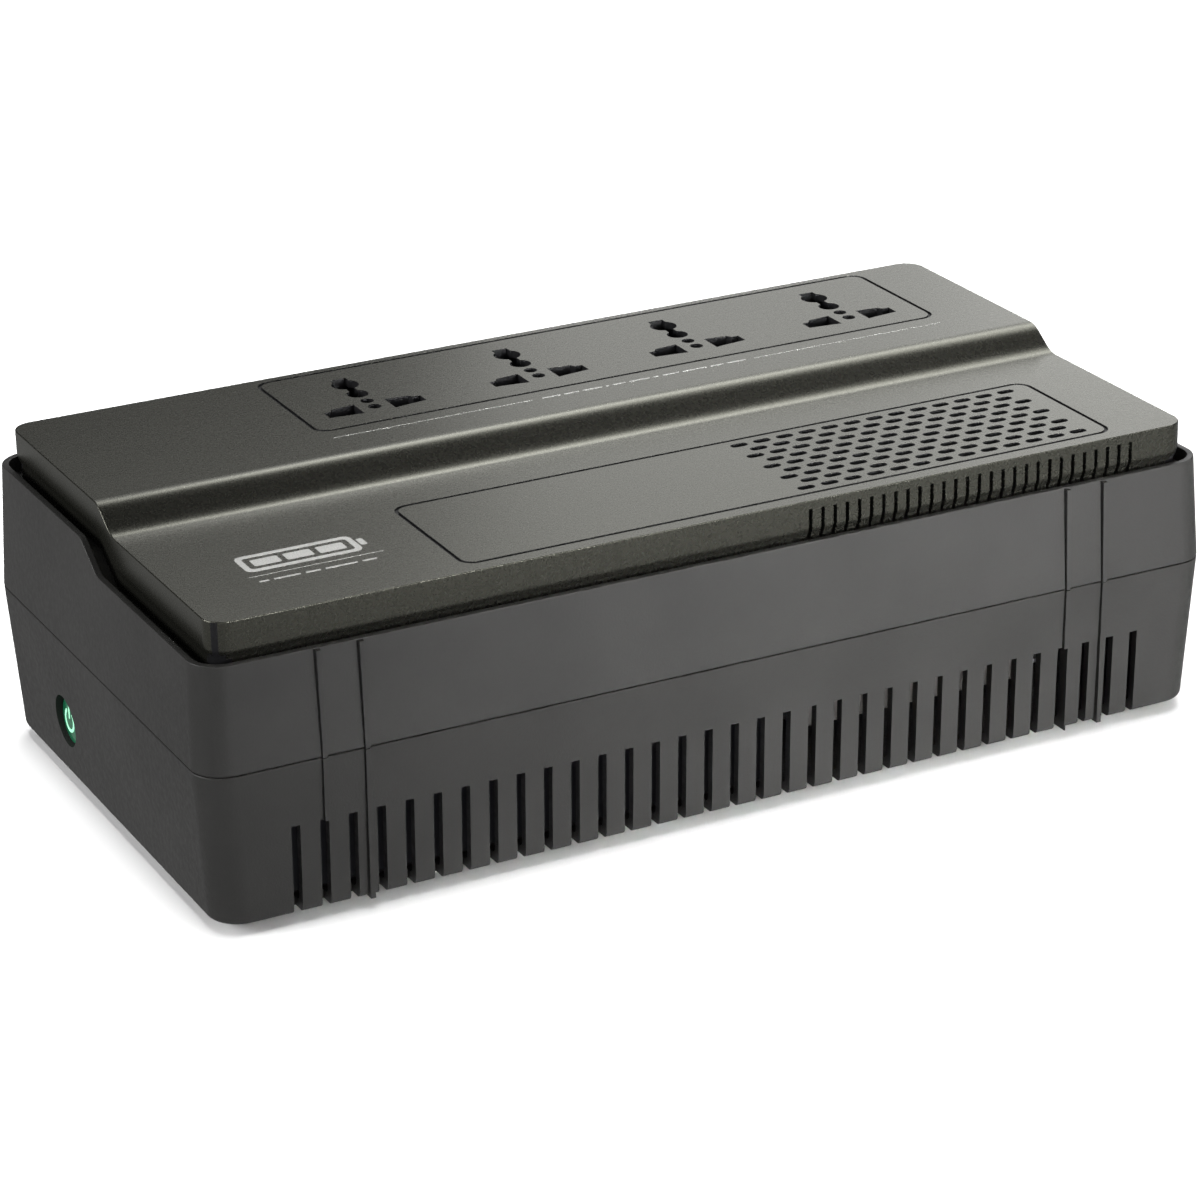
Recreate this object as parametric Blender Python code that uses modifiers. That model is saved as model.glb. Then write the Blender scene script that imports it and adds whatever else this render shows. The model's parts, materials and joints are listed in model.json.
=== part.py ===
"""A low line-interactive uninterruptible power supply (UPS), built as an openable assembly.

Metres, +Z up. X runs along the long side (the power button is on the -X end, the mains inlet on the
+X end), -Y is the long side with the lower deck, and the origin is under the middle of the case, on the
surface that the rubber feet stand on. Two plastic shells meet at a seam, and a stepped cover with four
universal outlets drops into the upper shell. Inside are a sealed lead-acid battery, a laminated
transformer, the power board, the outlet contacts and their wiring.
"""

import math

import bmesh
import bpy
from mathutils import Vector

# ---- driving dimensions -------------------------------------------------------------------------
LENGTH, WIDTH = 0.3050, 0.1572  # at the seam, where the case is widest
BASE_LENGTH, BASE_WIDTH = 0.2995, 0.1538  # both shells narrow away from the seam
RIM_LENGTH, RIM_WIDTH = 0.3020, 0.1529
RIB_SPAN = 0.1590  # overall width, over the upright ribs on both long sides
FOOT_HEIGHT = 0.0030  # how far the feet hold the case off the table
WALL = 0.0025  # wall of both shells
COVER_WALL = 0.0023
GAP = 0.0003  # clearance between neighbouring pieces

CASE_Z = FOOT_HEIGHT  # underside of the bottom case
FLOOR_Z = CASE_Z + WALL  # its inner floor
SEAM_Z = CASE_Z + 0.0433
RIM_FRONT_Z = CASE_Z + 0.0729
RIM_REAR_Z = CASE_Z + 0.0799
DECK_LOW_Z = CASE_Z + 0.0833
DECK_HIGH_Z = CASE_Z + 0.0895
CORNER_RADIUS = 0.0090
BASE_EDGE_RADIUS = 0.0015

COVER_LENGTH, COVER_WIDTH = 0.2931, 0.1473
COVER_RADIUS = 0.0060
STEP_TOP_Y, STEP_FOOT_Y, STEP_EASE = 0.0044, -0.0046, 0.0026  # the slope between the cover's two decks
RIM_STEP_TOP_Y, RIM_STEP_FOOT_Y = 0.0075, -0.0050
LEDGE_DROP, LEDGE_WIDTH, LEDGE_THICKNESS = 0.0030, 0.0070, 0.0016  # shelf that the cover rests on
RIM_WALL = 0.0019

# Hooks on the cover's walls: (along the wall, wall), which snap under the shelf of the upper case
HOOKS = ((0.0380, "front"), (0.1220, "front"), (-0.1000, "rear"), (0.0, "rear"), (0.1000, "rear"),
         (-0.0350, "left"), (0.0350, "left"), (-0.0350, "right"), (0.0350, "right"))
HOOK_WIDTH, HOOK_THICKNESS, HOOK_LENGTH, BARB = 0.0100, 0.0016, 0.0055, 0.0012

RIB_XS = (-0.1195, -0.1076, 0.1049, 0.1168)
RIB_WIDTH = 0.0014
RIB_TOP_Z = RIM_FRONT_Z - 0.0010

SLOT_COUNT, SLOT_PITCH, SLOT_WIDTH = 33, 0.0080, 0.0025  # louvres low on both long sides
SLOT_TOP_Z = CASE_Z + 0.0254
SLOT_REACH = 0.0050  # how far each louvre runs in under the base

OUTLET_COUNT, OUTLET_PITCH, OUTLET_MID_X = 4, 0.05127, 0.0253
OUTLET_XS = [OUTLET_MID_X + OUTLET_PITCH * (i - (OUTLET_COUNT - 1) / 2) for i in range(OUTLET_COUNT)]
PIN_LINE_Y = 0.0364  # live and neutral slots
EARTH_RISE = 0.0222  # the earth pin lies behind that line
SMALL_HOLE_YS, SMALL_HOLE_RADIUS = (0.0056, 0.0004), 0.0019  # holes between the slots
PANEL_XS = (-0.0738, 0.1248)  # engraved outline on each deck
PANEL_HIGH_YS, PANEL_LOW_YS = (0.0250, 0.0705), (-0.0688, -0.0230)
PANEL_RADIUS, GROOVE_WIDTH, GROOVE_DEPTH = 0.0040, 0.0009, 0.0005

VENT_ROWS, VENT_COLUMNS, VENT_PITCH_X, VENT_PITCH_Y = 9, 13, 0.00723, 0.00467
VENT_LENGTH, VENT_HEIGHT = 0.0053, 0.0026
VENT_MID_X, VENT_MID_Y = 0.0730, -0.0459
SLIT_COUNT, SLIT_PITCH, SLIT_WIDTH, SLIT_MID_X = 28, 0.00378, 0.0011, 0.0768
SLIT_TOP_Z = CASE_Z + 0.0808

BUTTON_Y, BUTTON_Z = 0.0310, CASE_Z + 0.0170
BUTTON_HOLE_RADIUS, BUTTON_RADIUS = 0.0075, 0.0070

PANEL_X = LENGTH / 2 - 0.0040  # floor of the recess in the +X end that holds the inlet and the breaker
PANEL_YS, PANEL_ZS = (-0.0400, 0.0240), (CASE_Z + 0.0085, CASE_Z + 0.0365)
INLET_Y, BREAKER_Y, INLET_Z = -0.0180, 0.0120, CASE_Z + 0.0225

BOSS_X, BOSS_Y, BOSS_RADIUS = 0.1390, 0.0640, 0.0050
SCREW_SEAT_Z = SEAM_Z - 0.0100
FOOT_X, FOOT_Y, FOOT_RADIUS, FOOT_RECESS = 0.1180, 0.0600, 0.0070, 0.0010
KEYHOLE_X, KEYHOLE_Y = 0.0900, 0.0480  # wall-mounting keyholes

BATTERY_SIZE = Vector((0.151, 0.094, 0.065))  # a 12 V 7 Ah block lying on its side
BATTERY_LOW = Vector((-0.1335, -0.0720, FLOOR_Z + GAP))
TERMINAL_Z = BATTERY_LOW.z + 0.0200
TERMINAL_XS = (BATTERY_LOW.x + 0.0120, BATTERY_LOW.x + BATTERY_SIZE.x - 0.0120)

CORE_SIZE = Vector((0.078, 0.050, 0.065))
CORE_LEG = CORE_SIZE.x / 6  # half of the middle leg, and as wide as a window
CORE_X, CORE_Y, CORE_Z = 0.0715, -0.0290, FLOOR_Z + 0.0042
COIL_DEPTH = 0.0750
SHEET = 0.0012  # sheet steel of the transformer frame
FRAME_FOOT, FRAME_WIDTH = 0.0120, 0.0340
STRAP, STRAP_WIDTH = 0.0010, 0.0160  # steel strap over the battery

BOARD_XS, BOARD_YS = (-0.1200, 0.1050), (0.0290, 0.0720)
BOARD_Z, BOARD_THICKNESS = FLOOR_Z + 0.0090, 0.0016
BOARD_TOP = BOARD_Z + BOARD_THICKNESS + GAP
BOARD_SCREWS = [(x, y) for x in (-0.1150, 0.1000) for y in (0.0340, 0.0670)]

SOCKET_TOP = DECK_HIGH_Z - COVER_WALL - GAP
SOCKET_DEPTH = 0.0225
SOCKET_BASE = SOCKET_TOP - SOCKET_DEPTH
SOCKET_YS = (PIN_LINE_Y - 0.0068, PIN_LINE_Y + EARTH_RISE + 0.0075)
BUS_THICKNESS = 0.0010
LEAD_RADIUS = 0.0014

TURNED_STEPS = 24
SMALL = 0.00001  # merge distance


# ---- scene and helpers --------------------------------------------------------------------------
def clear_scene():
    for old in list(bpy.data.objects):
        bpy.data.objects.remove(old)


def collection_named(name):
    made = bpy.data.collections.new(name)
    bpy.context.scene.collection.children.link(made)
    return made


def material(name, colour, roughness, metallic=0.0):
    made = bpy.data.materials.new(name)
    made.use_nodes = True
    shader = made.node_tree.nodes["Principled BSDF"]
    shader.inputs["Base Color"].default_value = (*colour, 1.0)
    shader.inputs["Roughness"].default_value = roughness
    shader.inputs["Metallic"].default_value = metallic
    return made


clear_scene()
PARTS = collection_named("uninterruptible_power_supply")
CUTTERS = collection_named("cutters")
CUTTERS.hide_render = True

SHELL = material("shell_plastic", (0.045, 0.045, 0.044), 0.50)
COVER = material("cover_plastic", (0.115, 0.113, 0.100), 0.40)
RUBBER = material("rubber", (0.02, 0.02, 0.02), 0.85)
STEEL = material("zinc_steel", (0.62, 0.62, 0.64), 0.35, 1.0)
BRASS = material("brass", (0.78, 0.58, 0.26), 0.35, 1.0)
ALUMINIUM = material("aluminium", (0.75, 0.76, 0.78), 0.40, 1.0)
BLACK = material("black_plastic", (0.02, 0.02, 0.022), 0.55)
GREEN_LENS = material("green_lens", (0.02, 0.35, 0.16), 0.25)
BATTERY_GREY = material("battery_plastic", (0.16, 0.17, 0.19), 0.55)
LAMINATION = material("lamination_steel", (0.20, 0.20, 0.22), 0.45, 0.8)
TAPE = material("coil_tape", (0.55, 0.42, 0.08), 0.45)
BOARD_GREEN = material("circuit_board", (0.03, 0.20, 0.07), 0.50)
RELAY_BLUE = material("relay_blue", (0.04, 0.12, 0.40), 0.45)
SLEEVE = material("capacitor_sleeve", (0.03, 0.04, 0.09), 0.35)
RED_WIRE = material("red_wire", (0.45, 0.02, 0.02), 0.50)
BLACK_WIRE = material("black_wire", (0.02, 0.02, 0.02), 0.50)
BROWN_WIRE = material("brown_wire", (0.16, 0.07, 0.03), 0.50)
BLUE_WIRE = material("blue_wire", (0.03, 0.10, 0.45), 0.50)
EARTH_WIRE = material("earth_wire", (0.15, 0.40, 0.04), 0.50)
GLASS = material("fuse_glass", (0.80, 0.85, 0.85), 0.10)


def add(name, data, finish=None, location=(0, 0, 0), rotation=(0, 0, 0)):
    """A part if it has a finish, or else a hidden helper for a Boolean."""
    obj = bpy.data.objects.new(name, data)
    obj.location = location
    obj.rotation_euler = rotation
    if finish:
        PARTS.objects.link(obj)
        data.materials.append(finish)
    else:
        CUTTERS.objects.link(obj)
        obj.hide_render = True
        obj.display_type = "WIRE"
    return obj


def boolean(obj, tool, operation="DIFFERENCE"):
    modifier = obj.modifiers.new(tool.name, "BOOLEAN")
    modifier.operation = operation
    modifier.object = tool
    modifier.solver = "EXACT"
    return obj


def cut(obj, *tools):
    for tool in tools:
        boolean(obj, tool)
    return obj


def fuse(obj, *tools):
    for tool in tools:
        boolean(obj, tool, "UNION")
    return obj


def shade(obj):
    obj.data.shade_smooth()
    obj.data.set_sharp_from_angle(angle=math.radians(35))
    return obj


def boxes(name, ranges, finish=None):
    """One object of separate boxes; each range is ((x, X), (y, Y), (z, Z))."""
    bm = bmesh.new()
    for spans in ranges:
        corners = bmesh.ops.create_cube(bm, size=1)["verts"]
        size = Vector([high - low for low, high in spans])
        middle = Vector([(high + low) / 2 for low, high in spans])
        for vertex in corners:
            vertex.co = Vector([c * s for c, s in zip(vertex.co, size)]) + middle
    mesh = bpy.data.meshes.new(name)
    bm.to_mesh(mesh)
    bm.free()
    return add(name, mesh, finish)


def block(name, low, size, finish=None, bevel=0.0, segments=1):
    """A box from its low corner and size, with its edges bevelled where bevel is given."""
    bm = bmesh.new()
    for vertex in bmesh.ops.create_cube(bm, size=1)["verts"]:
        vertex.co = Vector([c * s for c, s in zip(vertex.co, size)])
    if bevel:
        bmesh.ops.bevel(bm, geom=bm.edges[:], offset=bevel, segments=segments, affect="EDGES", profile=0.5)
    mesh = bpy.data.meshes.new(name)
    bm.to_mesh(mesh)
    bm.free()
    return add(name, mesh, finish, Vector(low) + Vector(size) / 2)


def cylinders(name, ends, radius, finish=None, steps=16):
    """One object of separate cylinders; each pair of ends is (start, end)."""
    bm = bmesh.new()
    for start, end in ends:
        start, end = Vector(start), Vector(end)
        turn = (end - start).to_track_quat("Z", "Y").to_matrix().to_4x4()
        turn.translation = (start + end) / 2
        bmesh.ops.create_cone(
            bm, cap_ends=True, segments=steps, radius1=radius, radius2=radius,
            depth=(end - start).length, matrix=turn,
        )
    mesh = bpy.data.meshes.new(name)
    bm.to_mesh(mesh)
    bm.free()
    return shade(add(name, mesh, finish))


def rounded_rectangle(xs, ys, radius, steps=4):
    """Outline with arcs at its corners, anticlockwise."""
    points = []
    corners = ((xs[1], ys[1], 0), (xs[0], ys[1], 90), (xs[0], ys[0], 180), (xs[1], ys[0], 270))
    for x, y, start in corners:
        inward = Vector((math.copysign(radius, sum(xs) / 2 - x), math.copysign(radius, sum(ys) / 2 - y)))
        for i in range(steps + 1):
            angle = math.radians(start + 90 * i / steps)
            points.append(Vector((x, y)) + inward + radius * Vector((math.cos(angle), math.sin(angle))))
    return points


def ring(x, y, radius, sides):
    turn = 2 * math.pi / sides
    return [(x + radius * math.cos(turn * i), y + radius * math.sin(turn * i)) for i in range(sides)]


# An outline's own x and y lie along these world axes, and it is extruded along the named one
OUTLINE_TURN = {"Z": (0, 0, 0), "Y": (math.pi / 2, 0, 0), "X": (math.pi / 2, 0, math.pi / 2)}


def extrude(name, outlines, axis, low, high, finish=None):
    """Flat outlines, inner ones being holes, extruded along an axis from low to high, as a welded mesh."""
    curve = bpy.data.curves.new(name, "CURVE")
    curve.dimensions = "2D"
    curve.fill_mode = "BOTH"
    curve.extrude = (high - low) / 2
    for outline in outlines:
        spline = curve.splines.new("POLY")
        spline.points.add(len(outline) - 1)
        for point, place in zip(spline.points, outline):
            point.co = (place[0], place[1], 0, 1)
        spline.use_cyclic_u = True
    flat = bpy.data.objects.new(name + "_outline", curve)
    bpy.context.scene.collection.objects.link(flat)
    graph = bpy.context.evaluated_depsgraph_get()
    mesh = bpy.data.meshes.new_from_object(flat.evaluated_get(graph))
    bpy.data.objects.remove(flat)
    bm = bmesh.new()
    bm.from_mesh(mesh)
    bmesh.ops.remove_doubles(bm, verts=bm.verts, dist=SMALL)
    bmesh.ops.recalc_face_normals(bm, faces=bm.faces)
    bm.to_mesh(mesh)
    bm.free()
    middle = (low + high) / 2
    shift = {"X": Vector((middle, 0, 0)), "Y": Vector((0, middle, 0)), "Z": Vector((0, 0, middle))}[axis]
    mesh.name = name
    return add(name, mesh, finish, shift, OUTLINE_TURN[axis])


def tapered_box(name, low_size, low_z, high_size, high_z, radius, finish=None, edge_radius=0.0):
    """A box that changes size with height, with round vertical corners."""
    bm = bmesh.new()
    for vertex in bmesh.ops.create_cube(bm, size=1)["verts"]:
        size, height = (low_size, low_z) if vertex.co.z < 0 else (high_size, high_z)
        vertex.co = Vector((vertex.co.x * size[0], vertex.co.y * size[1], height))
    upright = [e for e in bm.edges if abs(e.verts[0].co.z - e.verts[1].co.z) > SMALL]
    bmesh.ops.bevel(bm, geom=upright, offset=radius, segments=5, affect="EDGES", profile=0.5)
    if edge_radius:
        base = [e for e in bm.edges if all(abs(v.co.z - low_z) < SMALL for v in e.verts)]
        bmesh.ops.bevel(bm, geom=base, offset=edge_radius, segments=2, affect="EDGES", profile=0.5)
    mesh = bpy.data.meshes.new(name)
    bm.to_mesh(mesh)
    bm.free()
    return add(name, mesh, finish)


def turned(name, profile, finish, location, rotation=(0, 0, 0), steps=TURNED_STEPS):
    """A solid of revolution about its own Z, from (radius, height) points running down from the top centre."""
    mesh = bpy.data.meshes.new(name)
    points = [(radius, 0, height) for radius, height in profile]
    mesh.from_pydata(points, [(i, i + 1) for i in range(len(points) - 1)], [])
    obj = add(name, mesh, finish, location, rotation)
    screw = obj.modifiers.new("turn", "SCREW")
    screw.steps = screw.render_steps = steps
    screw.use_merge_vertices = True
    screw.merge_threshold = SMALL
    screw.use_smooth_shade = True
    return obj


def smooth_route(points, spacing):
    """Points along a Catmull-Rom curve through the given ones, about spacing apart."""
    path = [Vector(p) for p in points]
    path = [2 * path[0] - path[1], *path, 2 * path[-1] - path[-2]]
    route = []
    for a, b, c, d in zip(path, path[1:], path[2:], path[3:]):
        count = max(1, round((c - b).length / spacing))
        for i in range(count):
            t = i / count
            square, cube = 2 * a - 5 * b + 4 * c - d, 3 * b - a - 3 * c + d
            route.append(0.5 * (2 * b + (c - a) * t + square * t**2 + cube * t**3))
    return [*route, path[-2]]


def wire(name, points, finish):
    curve = bpy.data.curves.new(name, "CURVE")
    curve.dimensions = "3D"
    curve.bevel_depth = LEAD_RADIUS
    curve.bevel_resolution = 2
    curve.use_fill_caps = True
    route = smooth_route(points, 5 * LEAD_RADIUS)
    spline = curve.splines.new("POLY")
    spline.points.add(len(route) - 1)
    for point, place in zip(spline.points, route):
        point.co = (*place, 1)
    return add(name, curve, finish)


# ---- case ---------------------------------------------------------------------------------------
CORNERS = [(x, y) for x in (-1, 1) for y in (-1, 1)]


def outline_at(z, inset):
    """Length and width of the leaning walls' outline at height z, less the inset on every side."""
    low_z, low = (CASE_Z, (BASE_LENGTH, BASE_WIDTH)) if z < SEAM_Z else (RIM_REAR_Z, (RIM_LENGTH, RIM_WIDTH))
    share = (SEAM_Z - z) / (SEAM_Z - low_z)
    return [seam + (end - seam) * share - 2 * inset for seam, end in zip((LENGTH, WIDTH), low)]


def centred_plan(size, radius, steps=4):
    return rounded_rectangle((-size[0] / 2, size[0] / 2), (-size[1] / 2, size[1] / 2), radius, steps)


def rib_boxes(low_z, high_z):
    """Upright ribs on both long sides, where the walls lean in."""
    ribs = []
    for x in RIB_XS:
        for side in (-1, 1):
            ys = sorted((side * RIB_SPAN / 2, side * (RIB_SPAN / 2 - 0.0045)))
            ribs.append(((x - RIB_WIDTH / 2, x + RIB_WIDTH / 2), ys, (low_z, high_z)))
    return ribs


def louvre_boxes():
    slots = []
    for i in range(SLOT_COUNT):
        x = SLOT_PITCH * (i - (SLOT_COUNT - 1) / 2)
        for side in (-1, 1):
            ys = sorted((side * (WIDTH / 2 + 0.002), side * (BASE_WIDTH / 2 - SLOT_REACH)))
            slots.append(((x - SLOT_WIDTH / 2, x + SLOT_WIDTH / 2), ys, (CASE_Z - 0.001, SLOT_TOP_Z)))
    return slots


def columns(name, places, low_z, high_z, radius, steps=16):
    return cylinders(name, [((x, y, low_z), (x, y, high_z)) for x, y in places], radius, steps=steps)


def add_end_panel(case):
    """Thicken the +X end inside and sink a flat panel into it, with holes for the inlet and the breaker."""
    pad = [(PANEL_X - WALL, LENGTH / 2 - 0.0022)]
    pad += [(low - WALL, high + WALL) for low, high in (PANEL_YS, PANEL_ZS)]
    fuse(case, boxes("panel_pad", [pad]))
    cut(case, boxes("panel_pocket", [((PANEL_X, LENGTH / 2 + 0.002), PANEL_YS, PANEL_ZS)]))
    inlet_hole = ((PANEL_X - 0.01, PANEL_X + 0.01), (INLET_Y - 0.0138, INLET_Y + 0.0138),
                  (INLET_Z - 0.0100, INLET_Z + 0.0100))
    cut(case, boxes("inlet_hole", [inlet_hole]))
    cut(case, cylinders("breaker_hole", [((0.14, BREAKER_Y, INLET_Z), (0.16, BREAKER_Y, INLET_Z))], 0.0051))


def add_floor_details(case):
    """Bosses and posts on the floor, recesses for the feet, and keyholes for hanging the case on a wall."""
    bosses = [(x * BOSS_X, y * BOSS_Y) for x, y in CORNERS]
    fuse(case, columns("case_bosses", bosses, FLOOR_Z - 0.001, SEAM_Z - 2 * GAP, BOSS_RADIUS))
    cut(case, columns("screw_wells", bosses, 0, SCREW_SEAT_Z, 0.0037))
    cut(case, columns("screw_holes", bosses, SCREW_SEAT_Z - 0.005, SEAM_Z + 0.01, 0.0020, 10))

    fuse(case, columns("board_posts", BOARD_SCREWS, FLOOR_Z - 0.001, BOARD_Z - GAP, 0.0035, 10))
    cut(case, columns("board_post_holes", BOARD_SCREWS, FLOOR_Z + 0.001, BOARD_Z + 0.01, 0.0017, 8))
    posts = transformer_feet()
    fuse(case, columns("transformer_posts", posts, FLOOR_Z - 0.001, FLOOR_Z + 0.0035, 0.0040, 10))
    cut(case, columns("transformer_post_holes", posts, FLOOR_Z - 0.0005, FLOOR_Z + 0.01, 0.0021, 8))

    feet = [(x * FOOT_X, y * FOOT_Y) for x, y in CORNERS]
    cut(case, columns("foot_recesses", feet, 0, CASE_Z + FOOT_RECESS, FOOT_RADIUS + GAP, 20))
    keyholes = [(side * KEYHOLE_X, KEYHOLE_Y) for side in (-1, 1)]
    cut(case, columns("keyhole_heads", keyholes, 0, FLOOR_Z + 0.002, 0.0045))
    necks = [((x - 0.0023, x + 0.0023), (y, y + 0.0110), (0, FLOOR_Z + 0.002)) for x, y in keyholes]
    cut(case, boxes("keyhole_necks", necks))


def battery_stops():
    """Low walls on the floor that keep the battery in its place."""
    low, high = BATTERY_LOW, BATTERY_LOW + BATTERY_SIZE
    z = (FLOOR_Z - 0.001, FLOOR_Z + 0.012)
    return [((low.x - 0.0025, low.x - GAP), (low.y + 0.03, low.y + 0.06), z),
            ((high.x + GAP, high.x + 0.0025), (low.y + 0.004, low.y + 0.020), z),
            ((low.x + 0.03, low.x + 0.06), (high.y + GAP, high.y + 0.0025), z),
            ((high.x - 0.06, high.x - 0.03), (high.y + GAP, high.y + 0.0025), z)]


def make_bottom_case():
    case = tapered_box(
        "bottom_case", (BASE_LENGTH, BASE_WIDTH), CASE_Z, (LENGTH, WIDTH), SEAM_Z - GAP,
        CORNER_RADIUS, SHELL, BASE_EDGE_RADIUS,
    )
    cavity = tapered_box(
        "bottom_cavity", outline_at(FLOOR_Z, WALL), FLOOR_Z, outline_at(SEAM_Z, WALL), SEAM_Z,
        CORNER_RADIUS - WALL,
    )
    fuse(case, boxes("lower_ribs", rib_boxes(CASE_Z + 0.0002, SEAM_Z - GAP)))
    cut(case, cavity, boxes("louvre_cutter", louvre_boxes()))
    add_end_panel(case)
    cut(case, cylinders("button_hole", [((-0.16, BUTTON_Y, BUTTON_Z), (-0.14, BUTTON_Y, BUTTON_Z))],
                        BUTTON_HOLE_RADIUS, steps=24))
    add_floor_details(case)
    fuse(case, boxes("battery_stops", battery_stops()))
    return shade(case)


def rim_line(half_width, drop):
    """(y, z) points along the stepped rim, drop below it, from front to back."""
    return [(-half_width, RIM_FRONT_Z - drop), (RIM_STEP_FOOT_Y, RIM_FRONT_Z - drop),
            (RIM_STEP_TOP_Y, RIM_REAR_Z - drop), (half_width, RIM_REAR_Z - drop)]


def above_rim(name, drop, reach):
    """All the space above a copy of the stepped rim."""
    return extrude(name, [[*rim_line(WIDTH, drop), (WIDTH, 0.2), (-WIDTH, 0.2)]], "X", -reach, reach)


def below_rim(name, drop, reach):
    """All the space below a copy of the stepped rim."""
    return extrude(name, [[(-WIDTH, 0), (WIDTH, 0), *rim_line(WIDTH, drop)[::-1]]], "X", -reach, reach)


def make_upper_case():
    case = tapered_box(
        "upper_case", (LENGTH, WIDTH), SEAM_Z, (RIM_LENGTH, RIM_WIDTH), RIM_REAR_Z + 0.0001,
        CORNER_RADIUS, SHELL,
    )
    cut(case, above_rim("rim_step", 0, LENGTH))

    # The gutter that the cover stands in, the room below its shelf, and the opening between them
    rim_inner = outline_at(RIM_REAR_Z, RIM_WALL)
    gutter = above_rim("gutter", LEDGE_DROP, LENGTH)
    gutter_plan = extrude("gutter_plan", [centred_plan(rim_inner, CORNER_RADIUS - RIM_WALL)], "Z", 0.05, 0.12)
    cut(case, boolean(gutter, gutter_plan, "INTERSECT"))
    room = below_rim("room", LEDGE_DROP + LEDGE_THICKNESS, LENGTH)
    room_plan = tapered_box(
        "room_plan", outline_at(SEAM_Z, WALL), SEAM_Z - 0.001, outline_at(RIM_REAR_Z, WALL), RIM_REAR_Z,
        CORNER_RADIUS - WALL,
    )
    cut(case, boolean(room, room_plan, "INTERSECT"))
    opening = centred_plan([side - 2 * LEDGE_WIDTH for side in rim_inner], 0.004)
    cut(case, extrude("opening", [opening], "Z", 0.05, 0.12))
    fuse(case, boxes("upper_ribs", rib_boxes(SEAM_Z, RIB_TOP_Z)))

    for level, z in ((-1, RIM_FRONT_Z), (1, RIM_REAR_Z)):
        bosses = [(x * BOSS_X, level * BOSS_Y) for x in (-1, 1)]
        fuse(case, columns(f"upper_bosses_{level}", bosses, SEAM_Z, z - LEDGE_DROP - 0.0008, 0.0046))
    bosses = [(x * BOSS_X, y * BOSS_Y) for x, y in CORNERS]
    cut(case, columns("pilot_holes", bosses, SEAM_Z - 0.01, SEAM_Z + 0.020, 0.0020, 10))
    cut(case, boxes("hook_notches", [hook_box(*hook, -HOOK_LENGTH, 0.002, 0.0006) for hook in HOOKS]))
    return shade(case)


# ---- cover --------------------------------------------------------------------------------------
def hook_box(along, wall, low, high, clearance=0.0, out=0.0004):
    """A box at one hook of the cover, between two heights over the shelf below it."""
    rim_z = {"front": RIM_FRONT_Z, "rear": RIM_REAR_Z}.get(wall, RIM_FRONT_Z if along < 0 else RIM_REAR_Z)
    shelf = rim_z - LEDGE_DROP
    half = (COVER_WIDTH if wall in ("front", "rear") else COVER_LENGTH) / 2 - COVER_WALL
    sign = 1 if wall in ("rear", "right") else -1
    across = sorted((sign * (half + out + clearance), sign * (half - HOOK_THICKNESS - clearance)))
    width = (along - HOOK_WIDTH / 2 - clearance, along + HOOK_WIDTH / 2 + clearance)
    z = (shelf + low, shelf + high)
    return (width, across, z) if wall in ("front", "rear") else (across, width, z)


def step_share(y):
    """How far up the slope the cover is at y, from 0 to 1, with both of its bends eased over +-STEP_EASE."""

    def climb(distance):
        if distance <= -STEP_EASE:
            return 0.0
        return distance if distance >= STEP_EASE else (distance + STEP_EASE) ** 2 / (4 * STEP_EASE)

    return (climb(y - STEP_FOOT_Y) - climb(y - STEP_TOP_Y)) / (STEP_TOP_Y - STEP_FOOT_Y)


def deck_section(inset, drop):
    """The cover's section in (y, z), with an S-shaped slope between its decks; inset makes the inner one."""
    half = COVER_WIDTH / 2 - inset
    steps = 4
    offsets = [STEP_EASE * (1 - 2 * i / steps) for i in range(steps + 1)]
    ys = [bend + offset for bend in (STEP_TOP_Y, STEP_FOOT_Y) for offset in offsets]
    slope = [(y, DECK_LOW_Z - inset + (DECK_HIGH_Z - DECK_LOW_Z) * step_share(y)) for y in ys]
    return [*rim_line(half, drop), (half, DECK_HIGH_Z - inset), *slope, (-half, DECK_LOW_Z - inset)]


def pin_slot(side):
    """Outline of a universal live or neutral slot about the outlet's axis, in metres; side is -1 or 1."""
    right = ((0.0047, -0.0035), (0.0068, -0.0031), (0.0148, -0.0022), (0.0148, 0.0022), (0.0128, 0.0024),
             (0.0116, 0.0038), (0.0047, 0.0046))
    points = [(side * x, y) for x, y in right]
    return points[::side]


def earth_slot():
    """Outline of the earth hole: a slot for a flat pin over a round hole, with a neck to a smaller one."""
    big, small, neck, slot = 0.00395, 0.0031, 0.0013, 0.0024
    centre, low_centre, top = EARTH_RISE - 0.0012, EARTH_RISE - 0.0100, EARTH_RISE + 0.0042
    first, last = math.acos(slot / big), -math.acos(neck / big)
    arc = [first + (last - first) * i / 5 for i in range(6)]
    right = [(slot, top), *((big * math.cos(a), centre + big * math.sin(a)) for a in arc)]
    first = math.acos(neck / small)
    arc = [first - (first + math.pi / 2) * i / 5 for i in range(5)]
    right += [(small * math.cos(a), low_centre + small * math.sin(a)) for a in arc]
    return [*right, (0, low_centre - small), *((-x, y) for x, y in reversed(right))]


def cut_outlet_holes(cover):
    holes = [pin_slot(-1), pin_slot(1), earth_slot()]
    holes += [ring(0, y, SMALL_HOLE_RADIUS, 8) for y in SMALL_HOLE_YS]
    for i, x in enumerate(OUTLET_XS):
        placed = [[(x + px, PIN_LINE_Y + py) for px, py in hole] for hole in holes]
        cut(cover, extrude(f"outlet_holes_{i + 1}", placed, "Z", DECK_HIGH_Z - 0.006, DECK_HIGH_Z + 0.002))


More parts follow.
